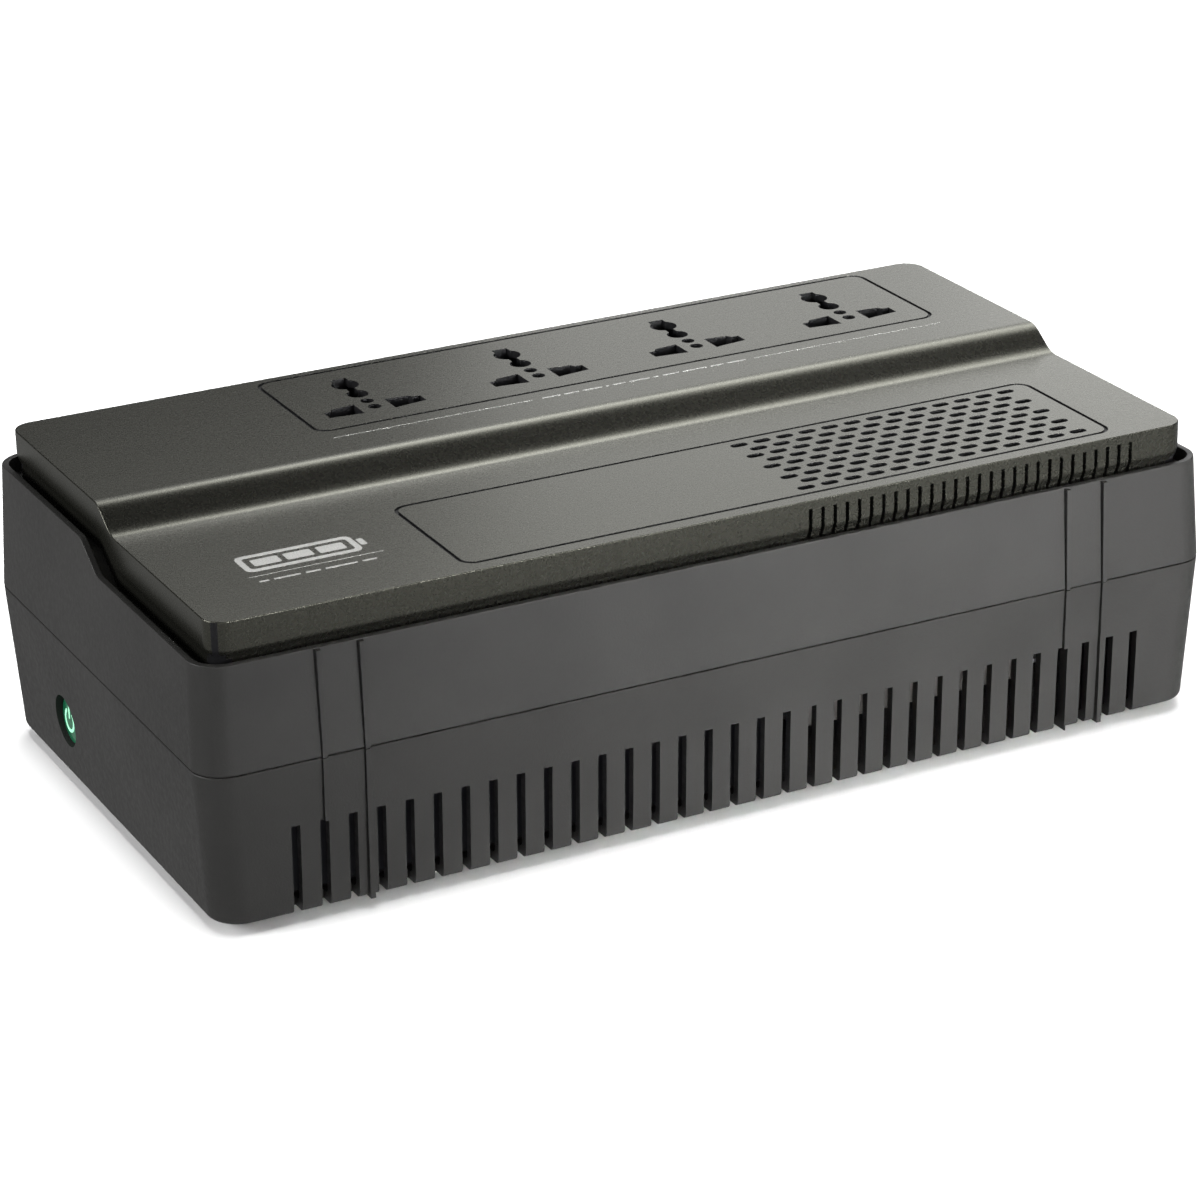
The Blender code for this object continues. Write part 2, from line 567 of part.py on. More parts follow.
def vent_boxes():
    """Rows of slots, each row half a pitch along from the last."""
    vents = []
    for row in range(VENT_ROWS):
        count = VENT_COLUMNS - row % 2
        y = VENT_MID_Y + VENT_PITCH_Y * (row - (VENT_ROWS - 1) / 2)
        ys = (y - VENT_HEIGHT / 2, y + VENT_HEIGHT / 2)
        for column in range(count):
            x = VENT_MID_X + VENT_PITCH_X * (column - (count - 1) / 2)
            xs = (x - VENT_LENGTH / 2, x + VENT_LENGTH / 2)
            vents.append((xs, ys, (DECK_LOW_Z - 0.005, DECK_LOW_Z + 0.005)))
    return vents


def slit_boxes():
    """Upright slits through the cover's front wall."""
    slits = []
    wall = -COVER_WIDTH / 2
    for i in range(SLIT_COUNT):
        x = SLIT_MID_X + SLIT_PITCH * (i - (SLIT_COUNT - 1) / 2)
        xs = (x - SLIT_WIDTH / 2, x + SLIT_WIDTH / 2)
        slits.append((xs, (wall - 0.002, wall + 0.004), (RIM_FRONT_Z - 0.0005, SLIT_TOP_Z)))
    return slits


def groove(name, ys, top_z):
    """Cutter for an engraved outline."""
    (left, right), (front, back) = PANEL_XS, ys
    outlines = []
    for out in (GROOVE_WIDTH / 2, -GROOVE_WIDTH / 2):
        outlines.append(
            rounded_rectangle((left - out, right + out), (front - out, back + out), PANEL_RADIUS + out)
        )
    return extrude(name, outlines, "Z", top_z - GROOVE_DEPTH, top_z + 0.001)


def make_top_cover():
    """A hollow lid cut from its section along X and its plan, with nine snap hooks."""
    size = (COVER_LENGTH, COVER_WIDTH)
    inner_size = [side - 2 * COVER_WALL for side in size]
    half, inner_half = COVER_LENGTH / 2, COVER_LENGTH / 2 - COVER_WALL
    cover = extrude("top_cover", [deck_section(0, LEDGE_DROP - GAP)], "X", -half, half, COVER)
    plan = centred_plan(size, COVER_RADIUS)
    boolean(cover, extrude("cover_plan", [plan], "Z", 0.05, 0.12), "INTERSECT")
    hollow = extrude("cover_hollow", [deck_section(COVER_WALL, 0.010)], "X", -inner_half, inner_half)
    inner_plan = centred_plan(inner_size, COVER_RADIUS - COVER_WALL)
    cut(cover, boolean(hollow, extrude("cover_hollow_plan", [inner_plan], "Z", 0.04, 0.13), "INTERSECT"))

    cut(cover, boxes("vent_cutter", vent_boxes()), boxes("slit_cutter", slit_boxes()))
    cut_outlet_holes(cover)
    cut(cover, groove("upper_groove", PANEL_HIGH_YS, DECK_HIGH_Z))
    cut(cover, groove("lower_groove", PANEL_LOW_YS, DECK_LOW_Z))
    fuse(cover, boxes("hooks", [hook_box(*hook, -HOOK_LENGTH, 0.004) for hook in HOOKS]))
    barb = (0.0002 - HOOK_LENGTH, -LEDGE_THICKNESS - 0.0006)
    fuse(cover, boxes("barbs", [hook_box(*hook, *barb, out=BARB) for hook in HOOKS]))
    return shade(cover)


def make_feet_and_screws():
    foot_top = CASE_Z + FOOT_RECESS - GAP
    foot = [(0, foot_top), (FOOT_RADIUS, foot_top), (FOOT_RADIUS, 0.0010), (FOOT_RADIUS - 0.0008, 0), (0, 0)]
    screw = [(0, 0.0265), (0.0010, 0.0260), (0.0016, 0.0240), (0.0016, 0), (0.0032, 0), (0.0032, -0.0012),
             (0.0022, -0.0024), (0, -0.0024)]
    for i, (x, y) in enumerate(CORNERS):
        turned(f"rubber_foot_{i + 1}", foot, RUBBER, (x * FOOT_X, y * FOOT_Y, 0))
        turned(f"case_screw_{i + 1}", screw, STEEL, (x * BOSS_X, y * BOSS_Y, SCREW_SEAT_Z - GAP), steps=12)


# ---- power button -------------------------------------------------------------------------------
BUTTON_FACE_X = -0.1492
FLANGE_RADIUS, FLANGE_DEPTHS = 0.0084, (0.0018, 0.0029)  # behind the face, this keeps the cap in the case
STEM_RADIUS, STEM_DEPTH = 0.0020, 0.0080
HOLDER_XS, HOLDER_WIDTH, HOLDER_HEIGHT = (-0.1470, -0.1343), 0.0230, 0.0250
HOLDER_BORE, BUTTON_BOARD_WIDTH = 0.0089, 0.0180
SWITCH_DEPTH, SWITCH_SIDE, NUB_RADIUS = 0.0035, 0.0060, 0.0017
LED_RISE = 0.0060
TURN_TO_MINUS_X = (0, -math.pi / 2, 0)  # a turned part's own +Z points out of the -X end
TURN_TO_PLUS_X = (0, math.pi / 2, 0)


def along_button(name, low_x, high_x, radius, steps=24):
    """A cylinder on the button's axis."""
    return cylinders(name, [((low_x, BUTTON_Y, BUTTON_Z), (high_x, BUTTON_Y, BUTTON_Z))], radius, steps=steps)


def make_power_button():
    """The cap slides along X in its holder and works a switch on a small board, whose dome pushes it back."""
    flange, back = FLANGE_DEPTHS
    cap = [(0, 0), (BUTTON_RADIUS - 0.0010, 0), (BUTTON_RADIUS, -0.0006), (BUTTON_RADIUS, -flange),
           (FLANGE_RADIUS, -flange), (FLANGE_RADIUS, -back), (STEM_RADIUS, -back),
           (STEM_RADIUS, -STEM_DEPTH), (0, -STEM_DEPTH)]
    turned("power_button", cap, GREEN_LENS, (BUTTON_FACE_X, BUTTON_Y, BUTTON_Z), TURN_TO_MINUS_X)

    front, rear = HOLDER_XS
    base = FLOOR_Z + GAP
    holder_size = (rear - front, HOLDER_WIDTH, HOLDER_HEIGHT)
    holder = block("button_holder", (front, BUTTON_Y - HOLDER_WIDTH / 2, base), holder_size, BLACK)
    cut(holder, along_button("holder_bore", front - 0.01, rear + 0.01, HOLDER_BORE))
    board_size = (BOARD_THICKNESS, BUTTON_BOARD_WIDTH, HOLDER_HEIGHT)
    block("button_board", (rear + GAP, BUTTON_Y - BUTTON_BOARD_WIDTH / 2, base), board_size, BOARD_GREEN)

    half = SWITCH_SIDE / 2
    switch_low = (rear - SWITCH_DEPTH, BUTTON_Y - half, BUTTON_Z - half)
    switch = block("tact_switch", switch_low, (SWITCH_DEPTH, SWITCH_SIDE, SWITCH_SIDE), BLACK)
    fuse(switch, along_button("switch_nub", rear - 0.0051, rear - 0.0017, NUB_RADIUS, 10))
    led = [(0, 0.0052), (0.0010, 0.0048), (0.0015, 0.0036), (0.0015, 0.0010), (0.0018, 0.0010), (0.0018, 0),
           (0, 0)]
    turned("status_led", led, GREEN_LENS, (rear, BUTTON_Y, BUTTON_Z + LED_RISE), TURN_TO_MINUS_X, steps=12)


# ---- mains inlet and breaker --------------------------------------------------------------------
FLANGE_X = PANEL_X + 0.0022  # outer face of the inlet's flange and of the breaker's nut
FLANGE_SIZE, BODY_SIZE = (0.0310, 0.0236), (0.0268, 0.0192)
INLET_BACK_X = FLANGE_X - 0.0195
MOUTH_SIZE, MOUTH_DEPTH, MOUTH_CHAMFER = (0.0242, 0.0162), 0.0165, 0.0045
INLET_PINS = {"live": (0.0070, -0.0020), "neutral": (-0.0070, -0.0020), "earth": (0.0, 0.0020)}
BLADE_WIDTH, BLADE_HEIGHT = 0.0020, 0.0040
PIN_BACK_X = INLET_BACK_X - 0.0065
BREAKER_BACK_X, BREAKER_FRONT_X = 0.1150, PANEL_X - WALL - GAP
BREAKER_WIDTH, BREAKER_HEIGHT = 0.0140, 0.0240
NECK_RADIUS, BORE_RADIUS, RESET_RADIUS = 0.0047, 0.0036, 0.0032
NUT_RADIUS, NUT_BORE = 0.0072, 0.0050
RESET_ROOT_X = BREAKER_FRONT_X - 0.0076


def box_about(xs, y, z, width, height):
    """Ranges of a box that is centred on y and z."""
    return (xs, (y - width / 2, y + width / 2), (z - height / 2, z + height / 2))


def make_inlet():
    """A standard flat-sided appliance inlet with three blades that run through to the back."""
    inlet = boxes("ac_inlet", [box_about((PANEL_X + GAP, FLANGE_X), INLET_Y, INLET_Z, *FLANGE_SIZE)], BLACK)
    body = box_about((INLET_BACK_X, PANEL_X + 0.0010), INLET_Y, INLET_Z, *BODY_SIZE)
    fuse(inlet, boxes("inlet_body", [body]))
    _, (left, right), (low, high) = box_about(None, INLET_Y, INLET_Z, *MOUTH_SIZE)
    mouth = [(left, low), (right, low), (right, high - MOUTH_CHAMFER), (right - MOUTH_CHAMFER, high),
             (left + MOUTH_CHAMFER, high), (left, high - MOUTH_CHAMFER)]
    cut(inlet, extrude("inlet_mouth", [mouth], "X", FLANGE_X - MOUTH_DEPTH, FLANGE_X + 0.002))
    holes = []
    for name, (dy, dz) in INLET_PINS.items():
        y, z = INLET_Y + dy, INLET_Z + dz
        blade = box_about((PIN_BACK_X, FLANGE_X - 0.0020), y, z, BLADE_WIDTH, BLADE_HEIGHT)
        boxes(f"inlet_pin_{name}", [blade], BRASS)
        xs = (INLET_BACK_X - 0.001, FLANGE_X - MOUTH_DEPTH + 0.001)
        holes.append(box_about(xs, y, z, BLADE_WIDTH + 2 * GAP, BLADE_HEIGHT + 2 * GAP))
    cut(inlet, boxes("inlet_pin_holes", holes))


def along_breaker(name, low_x, high_x, radius):
    """A cylinder on the breaker's axis."""
    return cylinders(name, [((low_x, BREAKER_Y, INLET_Z), (high_x, BREAKER_Y, INLET_Z))], radius)


def make_breaker():
    """A push-to-reset thermal breaker: its button slides out along X when it trips."""
    xs = (BREAKER_BACK_X, BREAKER_FRONT_X)
    body = boxes("breaker_body", [box_about(xs, BREAKER_Y, INLET_Z, BREAKER_WIDTH, BREAKER_HEIGHT)], BLACK)
    fuse(body, along_breaker("breaker_neck", BREAKER_FRONT_X - 0.002, FLANGE_X + 0.0006, NECK_RADIUS))
    cut(body, along_breaker("breaker_bore", BREAKER_FRONT_X - 0.008, FLANGE_X + 0.01, BORE_RADIUS))
    outlines = [ring(BREAKER_Y, INLET_Z, NUT_RADIUS, 6), ring(BREAKER_Y, INLET_Z, NUT_BORE, 16)]
    extrude("breaker_nut", outlines, "X", PANEL_X + GAP, FLANGE_X, STEEL)
    length = FLANGE_X + 0.0014 - RESET_ROOT_X
    button = [(0, length), (RESET_RADIUS - 0.0010, length), (RESET_RADIUS, length - 0.0008),
              (RESET_RADIUS, 0), (0, 0)]
    turned("breaker_button", button, BLACK, (RESET_ROOT_X, BREAKER_Y, INLET_Z), TURN_TO_PLUS_X, steps=16)


# ---- outlets ------------------------------------------------------------------------------------
# All of these are measured from an outlet's axis and the pin line
SOCKET_WIDTH = 0.0380
POCKET_XS, POCKET_YS = (0.0045, 0.0152), (-0.0038, 0.0050)  # live and neutral
EARTH_POCKET_YS, EARTH_POCKET_WIDTH = (0.0088, 0.0270), 0.0086
LEAF_XS, EARTH_LEAF_YS = (0.0074, 0.0146), (0.0184, 0.0262)  # contact leaves beside a flat pin
LEAF_GAP, LEAF_THICKNESS, LEAF_HEIGHT = 0.0045, 0.0007, 0.0140
BUS_TOP = SOCKET_BASE - GAP
BUS_XS = (OUTLET_XS[0] - 0.0180, OUTLET_XS[-1] + 0.0180)
NEUTRAL_BUS_Y, LIVE_BUS_Y, EARTH_BUS_Y = PIN_LINE_Y - 0.0105, PIN_LINE_Y + 0.0088, PIN_LINE_Y + EARTH_RISE


def make_sockets():
    """Four socket mouldings under the cover, open below so that the contacts on the buses reach in."""
    z = (SOCKET_BASE - 0.001, SOCKET_TOP + 0.001)
    pin_ys, earth_ys = [[PIN_LINE_Y + y for y in ys] for ys in (POCKET_YS, EARTH_POCKET_YS)]
    size = (SOCKET_WIDTH, SOCKET_YS[1] - SOCKET_YS[0], SOCKET_DEPTH)
    for i, x in enumerate(OUTLET_XS):
        body = block(f"socket_body_{i + 1}", (x - SOCKET_WIDTH / 2, SOCKET_YS[0], SOCKET_BASE), size, BLACK)
        pockets = [(sorted(x + side * reach for reach in POCKET_XS), pin_ys, z) for side in (-1, 1)]
        pockets.append(((x - EARTH_POCKET_WIDTH / 2, x + EARTH_POCKET_WIDTH / 2), earth_ys, z))
        cut(body, boxes(f"pockets_{i + 1}", pockets))


def bus(name, y, width, tabs, leaves):
    """A brass strip under all outlets, with tabs and contact leaves given by their x and y ranges."""
    bottom = BUS_TOP - BUS_THICKNESS
    strip = boxes(name, [(BUS_XS, (y - width / 2, y + width / 2), (bottom, BUS_TOP))], BRASS)
    if tabs:
        fuse(strip, boxes(name + "_tabs", [(*tab, (bottom, BUS_TOP)) for tab in tabs]))
    leaf_z = (bottom + 0.0003, BUS_TOP + LEAF_HEIGHT)
    fuse(strip, boxes(name + "_leaves", [(*leaf, leaf_z) for leaf in leaves]))


def make_pin_bus(name, side, bus_y):
    """The live or neutral bus: at every outlet a tab crosses the pocket and carries two leaves."""
    tabs, leaves = [], []
    far_leaf = PIN_LINE_Y - math.copysign(LEAF_GAP / 2 + LEAF_THICKNESS + 0.0004, bus_y - PIN_LINE_Y)
    for x in OUTLET_XS:
        xs = sorted((x + side * LEAF_XS[0], x + side * LEAF_XS[1]))
        tabs.append(((xs[0] - 0.0002, xs[1] + 0.0002), sorted((bus_y, far_leaf))))
        for edge in (-1, 1):
            face = PIN_LINE_Y + edge * LEAF_GAP / 2
            leaves.append((xs, sorted((face, face + edge * LEAF_THICKNESS))))
    bus(name, bus_y, 0.0040, tabs, leaves)


def make_earth_bus():
    leaves = []
    for x in OUTLET_XS:
        for edge in (-1, 1):
            face = x + edge * LEAF_GAP / 2
            leaves.append((sorted((face, face + edge * LEAF_THICKNESS)),
                           (PIN_LINE_Y + EARTH_LEAF_YS[0], PIN_LINE_Y + EARTH_LEAF_YS[1])))
    bus("earth_bus", EARTH_BUS_Y, 0.0084, [], leaves)


# ---- battery and transformer --------------------------------------------------------------------
def make_battery():
    """A sealed lead-acid block with two spade terminals on its back face, held by a steel strap."""
    block("battery", BATTERY_LOW, BATTERY_SIZE, BATTERY_GREY, 0.0015)
    face_y = BATTERY_LOW.y + BATTERY_SIZE.y + GAP
    for name, x in zip(("positive", "negative"), TERMINAL_XS):
        plate = ((x - 0.0032, x + 0.0032), (face_y, face_y + 0.0010),
                 (TERMINAL_Z - 0.0040, TERMINAL_Z + 0.0040))
        blade = ((x - 0.0031, x + 0.0031), (face_y + 0.0002, face_y + 0.0066),
                 (TERMINAL_Z - 0.0004, TERMINAL_Z + 0.0004))
        terminal = boxes(f"battery_terminal_{name}", [plate], BRASS)
        fuse(terminal, boxes(f"terminal_blade_{name}", [blade]))

    # The strap lies over the battery and hooks down behind its back edge
    top = BATTERY_LOW.z + BATTERY_SIZE.z + GAP
    front_y, low_z, middle = BATTERY_LOW.y + 0.012, top - 0.020, BATTERY_LOW.x + 0.070
    section = [(face_y + STRAP, low_z), (face_y + STRAP, top + STRAP), (front_y, top + STRAP), (front_y, top),
               (face_y, top), (face_y, low_z)]
    extrude("battery_strap", [section], "X", middle - STRAP_WIDTH / 2, middle + STRAP_WIDTH / 2, STEEL)


def transformer_feet():
    return [(CORE_X + side * (CORE_SIZE.x / 2 + 0.0075), CORE_Y) for side in (-1, 1)]


def make_core():
    """A laminated block with two windows, and a coil wound round the leg between them."""
    half_depth = CORE_SIZE.y / 2
    low = (CORE_X - CORE_SIZE.x / 2, CORE_Y - half_depth, CORE_Z)
    core = block("transformer_core", low, CORE_SIZE, LAMINATION, 0.0008)
    mid_z = CORE_Z + CORE_SIZE.z / 2
    window = CORE_SIZE.z / 2 - CORE_LEG
    through = (CORE_Y - CORE_SIZE.y, CORE_Y + CORE_SIZE.y)
    windows = []
    for side in (-1, 1):
        xs = sorted((CORE_X + side * CORE_LEG, CORE_X + side * 2 * CORE_LEG))
        windows.append((xs, through, (mid_z - window, mid_z + window)))
    cut(core, boxes("core_windows", windows))

    half = Vector((2 * CORE_LEG - GAP, COIL_DEPTH / 2, window - GAP))
    coil = block("transformer_coil", Vector((CORE_X, CORE_Y, mid_z)) - half, 2 * half, TAPE, 0.0030, 2)
    leg, depth = CORE_LEG + GAP, half_depth + GAP
    leg_room = ((CORE_X - leg, CORE_X + leg), (CORE_Y - depth, CORE_Y + depth), (0, 0.1))
    cut(coil, boxes("leg_room", [leg_room]))


def make_transformer():
    """The core, its coil, and a steel frame bent over them with two feet that are screwed to posts."""
    make_core()
    side, top, foot_z = CORE_SIZE.x / 2 + GAP, CORE_Z + CORE_SIZE.z + GAP, FLOOR_Z + 0.0038
    right = [(side, top), (side, foot_z), (side + FRAME_FOOT, foot_z), (side + FRAME_FOOT, foot_z + SHEET),
             (side + SHEET, foot_z + SHEET), (side + SHEET, top + SHEET)]
    section = [*((CORE_X + x, z) for x, z in right), *((CORE_X - x, z) for x, z in reversed(right))]
    ends = (CORE_Y - FRAME_WIDTH / 2, CORE_Y + FRAME_WIDTH / 2)
    frame = extrude("transformer_frame", [section], "Y", *ends, STEEL)
    cut(frame, columns("frame_holes", transformer_feet(), 0, 0.02, 0.0021, 10))
    screw = [(0, 0.0022), (0.0028, 0.0016), (0.0034, 0), (0.0017, 0), (0.0017, -0.0043), (0, -0.0048)]
    for i, (x, y) in enumerate(transformer_feet()):
        turned(f"transformer_screw_{i + 1}", screw, STEEL, (x, y, foot_z + SHEET + GAP), steps=12)


# ---- power board --------------------------------------------------------------------------------
HEATSINK_XS, HEATSINK_Y, HEATSINK_HEIGHT = (-0.0960, -0.0530), 0.0690, 0.0340
RELAY_XS, RELAY_Y, RELAY_SIZE = (0.0300, 0.0560), 0.0500, (0.0190, 0.0155, 0.0155)
CAPACITOR_XS, CAPACITOR_Y = (-0.0030, 0.0160), 0.0430
BUZZER_PLACE, FUSE_PLACE = (-0.1040, 0.0580), (0.0560, 0.0400)


def heatsink_outline(x, y):
    """A comb seen from above: a back plate along X with fins towards the front."""
    fins, pitch, plate, depth, fin = 7, 0.0065, 0.0030, 0.0300, 0.0014
    points = [(0, (fins - 1) * pitch + fin), (0, 0)]
    for k in range(fins):
        points += [(depth, k * pitch), (depth, k * pitch + fin)]
        if k < fins - 1:
            points += [(plate, k * pitch + fin), (plate, (k + 1) * pitch)]
    return [(x + v, y - u) for u, v in points]


def make_board():
    """The main board on its posts, with the parts that stand on it."""
    size = (BOARD_XS[1] - BOARD_XS[0], BOARD_YS[1] - BOARD_YS[0], BOARD_THICKNESS)
    board = block("main_board", (BOARD_XS[0], BOARD_YS[0], BOARD_Z), size, BOARD_GREEN)
    cut(board, columns("board_holes", BOARD_SCREWS, 0, 0.03, 0.0018, 8))
    screw = [(0, 0.0018), (0.0024, 0.0013), (0.0030, 0), (0.0013, 0), (0.0013, -0.0065), (0, -0.0068)]
    for i, (x, y) in enumerate(BOARD_SCREWS):
        turned(f"board_screw_{i + 1}", screw, STEEL, (x, y, BOARD_TOP), steps=10)
    for i, x in enumerate(HEATSINK_XS):
        outline = heatsink_outline(x, HEATSINK_Y)
        extrude(f"heatsink_{i + 1}", [outline], "Z", BOARD_TOP, BOARD_TOP + HEATSINK_HEIGHT, ALUMINIUM)
    for i, x in enumerate(RELAY_XS):
        block(f"relay_{i + 1}", (x, RELAY_Y, BOARD_TOP), RELAY_SIZE, RELAY_BLUE, 0.0006)
    can = [(0, 0.0300), (0.0062, 0.0300), (0.0075, 0.0292), (0.0080, 0.0280), (0.0080, 0.0030),
           (0.0076, 0.0022), (0.0080, 0.0014), (0.0080, 0), (0, 0)]
    for i, x in enumerate(CAPACITOR_XS):
        turned(f"capacitor_{i + 1}", can, SLEEVE, (x, CAPACITOR_Y, BOARD_TOP), steps=16)
    buzzer = [(0, 0.0070), (0.0013, 0.0070), (0.0013, 0.0080), (0.0060, 0.0080), (0.0060, 0), (0, 0)]
    turned("buzzer", buzzer, BLACK, (*BUZZER_PLACE, BOARD_TOP), steps=16)
    cap, waist = 0.0026, 0.0022
    tube = [(0, 0.0200), (cap, 0.0200), (cap, 0.0150), (waist, 0.0148), (waist, 0.0052), (cap, 0.0050),
            (cap, 0), (0, 0)]
    turned("fuse", tube, GLASS, (*FUSE_PLACE, BOARD_TOP + cap), TURN_TO_PLUS_X, steps=12)


# ---- wiring -------------------------------------------------------------------------------------
def make_battery_leads(on_board):
    spade_y = BATTERY_LOW.y + BATTERY_SIZE.y + 0.0074
    left, right = TERMINAL_XS
    wire("battery_lead_positive", [
        (left, spade_y, TERMINAL_Z), (left + 0.001, spade_y + 0.0035, TERMINAL_Z),
        (left + 0.007, 0.0370, TERMINAL_Z - 0.004), (left + 0.016, 0.0410, on_board + 0.001),
        (left + 0.024, 0.0430, on_board),
    ], RED_WIRE)
    wire("battery_lead_negative", [
        (right, spade_y, TERMINAL_Z), (right, spade_y + 0.0020, TERMINAL_Z),
        (right - 0.006, 0.0320, TERMINAL_Z), (right - 0.020, 0.0318, TERMINAL_Z),
        (right - 0.032, 0.0325, TERMINAL_Z - 0.004),
        (right - 0.040, 0.0335, on_board + 0.001), (right - 0.046, 0.0340, on_board),
    ], BLACK_WIRE)


def make_mains_leads(on_board, under_bus):
    """From the inlet's blades to the breaker, the board and the earth bus."""
    pin_x = PIN_BACK_X - 0.0006
    tab_x = BREAKER_BACK_X - 0.0006
    ends = {name: (INLET_Y + dy, INLET_Z + dz) for name, (dy, dz) in INLET_PINS.items()}
    (live_y, live_z), (neutral_y, neutral_z), (earth_y, earth_z) = ends.values()
    wire("mains_live_lead", [
        (pin_x, live_y, live_z), (pin_x - 0.004, live_y, live_z), (0.1145, -0.0060, live_z + 0.003),
        (0.1085, 0.0040, 0.0300), (0.1095, 0.0110, 0.0310), (tab_x, BREAKER_Y, 0.0310),
    ], BROWN_WIRE)
    wire("breaker_lead", [
        (tab_x, BREAKER_Y, 0.0190), (tab_x - 0.004, BREAKER_Y, 0.0190), (0.1060, 0.0180, 0.0200),
        (0.1010, 0.0280, 0.0220), (0.0940, 0.0390, 0.0210), (0.0880, 0.0460, on_board + 0.001),
        (0.0840, 0.0500, on_board),
    ], BROWN_WIRE)
    wire("mains_neutral_lead", [
        (pin_x, neutral_y, neutral_z), (pin_x - 0.004, neutral_y, neutral_z), (0.1170, -0.0235, 0.0290),
        (0.1158, -0.0180, 0.0370), (0.1155, -0.0040, 0.0435), (0.1120, 0.0120, 0.0440),
        (0.1060, 0.0280, 0.0400), (0.0980, 0.0440, 0.0300), (0.0910, 0.0560, on_board + 0.002),
        (0.0870, 0.0610, on_board),
    ], BLUE_WIRE)
    wire("earth_lead", [
        (pin_x, earth_y, earth_z), (pin_x - 0.0035, earth_y, earth_z + 0.001), (0.1205, -0.0175, 0.0380),
        (0.1205, -0.0080, 0.0510), (0.1195, 0.0120, 0.0580), (0.1180, 0.0380, 0.0600),
        (0.1130, 0.0540, under_bus), (0.1040, EARTH_BUS_Y, under_bus),
    ], EARTH_WIRE)


def make_outlet_leads(on_board, under_bus):
    wire("outlet_live_lead", [
        (0.0480, 0.0440, on_board), (0.0500, 0.0442, on_board + 0.004), (0.0500, 0.0445, 0.0450),
        (0.0470, 0.0450, under_bus - 0.002), (0.0420, LIVE_BUS_Y, under_bus),
    ], BROWN_WIRE)
    wire("outlet_neutral_lead", [
        (0.0420, 0.0340, on_board), (0.0435, 0.0335, on_board + 0.005), (0.0420, 0.0310, 0.0450),
        (0.0380, 0.0280, under_bus - 0.002), (0.0320, NEUTRAL_BUS_Y, under_bus),
    ], BLUE_WIRE)


def make_wiring():
    """Every lead runs from one terminal to another with a small gap at both ends."""
    on_board = BOARD_TOP + LEAD_RADIUS
    under_bus = BUS_TOP - BUS_THICKNESS - GAP - LEAD_RADIUS
    make_battery_leads(on_board)
    make_mains_leads(on_board, under_bus)
    make_outlet_leads(on_board, under_bus)


def build():
    make_bottom_case()
    make_upper_case()
    make_top_cover()
    make_feet_and_screws()
    make_power_button()
    make_inlet()
    make_breaker()
    make_sockets()
    make_pin_bus("live_bus", 1, LIVE_BUS_Y)
    make_pin_bus("neutral_bus", -1, NEUTRAL_BUS_Y)
    make_earth_bus()
    make_battery()
    make_transformer()
    make_board()
    make_wiring()


build()
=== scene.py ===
"""Looks of a low uninterruptible power supply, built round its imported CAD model.

The two shells, the stepped cover, the power button, the feet, the screws and the mains panel are made again
with fine edges and replace their CAD nodes. The other pieces keep their CAD shape and get finishes here.
"""

import json
import math

import bmesh
import bpy
from mathutils import Matrix, Vector


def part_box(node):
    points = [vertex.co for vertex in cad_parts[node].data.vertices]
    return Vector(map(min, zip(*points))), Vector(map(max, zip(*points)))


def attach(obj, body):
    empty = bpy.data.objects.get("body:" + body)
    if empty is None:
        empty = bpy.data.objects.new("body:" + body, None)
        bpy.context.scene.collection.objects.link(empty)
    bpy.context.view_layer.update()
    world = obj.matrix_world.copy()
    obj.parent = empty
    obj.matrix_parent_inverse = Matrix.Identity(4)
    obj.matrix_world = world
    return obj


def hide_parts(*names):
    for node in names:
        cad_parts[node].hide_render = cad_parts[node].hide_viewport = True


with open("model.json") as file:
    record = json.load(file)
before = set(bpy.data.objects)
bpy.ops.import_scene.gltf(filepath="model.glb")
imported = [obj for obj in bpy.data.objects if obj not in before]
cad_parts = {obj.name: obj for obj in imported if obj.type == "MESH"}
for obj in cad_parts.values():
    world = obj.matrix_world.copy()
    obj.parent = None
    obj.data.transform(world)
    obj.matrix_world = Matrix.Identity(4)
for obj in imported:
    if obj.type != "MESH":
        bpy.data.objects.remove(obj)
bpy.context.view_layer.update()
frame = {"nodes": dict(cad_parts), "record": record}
NODES = frame["nodes"]

# ---- dimensions, in metres -------------------------------
LOWER_BOX, UPPER_BOX, COVER_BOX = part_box("bottom_case"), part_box("upper_case"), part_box("top_cover")
SEAM_HEIGHT, RIM_FRONT_HEIGHT, DECK_LOW_HEIGHT = 0.0433, 0.0729, 0.0833  # above the underside
SLOT_TOP_HEIGHT, SLIT_TOP_HEIGHT = 0.0254, 0.0808
RIBS_RISE = 0.0018  # how far the ribs of both sides together stand out of the walls
BASE_LEAN, RIM_LEAN = (0.0055, 0.0034), (0.0030, 0.0043)  # how much smaller in x and y than the seam
PRINT_THICKNESS, PRINT_ROOM = 0.00005, 0.00006  # the room keeps the printing in the CAD box

LENGTH = LOWER_BOX[1][0] - LOWER_BOX[0][0]
RIB_SPAN = LOWER_BOX[1][1] - LOWER_BOX[0][1]
RIB_BASE_Z = LOWER_BOX[0][2]
WIDTH = RIB_SPAN - RIBS_RISE
SEAM_Z = UPPER_BOX[0][2]
RIM_REAR_Z = UPPER_BOX[1][2]
CASE_Z = SEAM_Z - SEAM_HEIGHT
RIM_FRONT_Z = CASE_Z + RIM_FRONT_HEIGHT
DECK_LOW_Z = CASE_Z + DECK_LOW_HEIGHT
DECK_HIGH_Z = COVER_BOX[1][2] - PRINT_ROOM
COVER_LENGTH = COVER_BOX[1][0] - COVER_BOX[0][0]
COVER_WIDTH = COVER_BOX[1][1] - COVER_BOX[0][1]
BASE_LENGTH, BASE_WIDTH = LENGTH - BASE_LEAN[0], WIDTH - BASE_LEAN[1]
RIM_LENGTH, RIM_WIDTH = LENGTH - RIM_LEAN[0], WIDTH - RIM_LEAN[1]
WALL, COVER_WALL = 0.0025, 0.0023
FLOOR_Z = CASE_Z + WALL
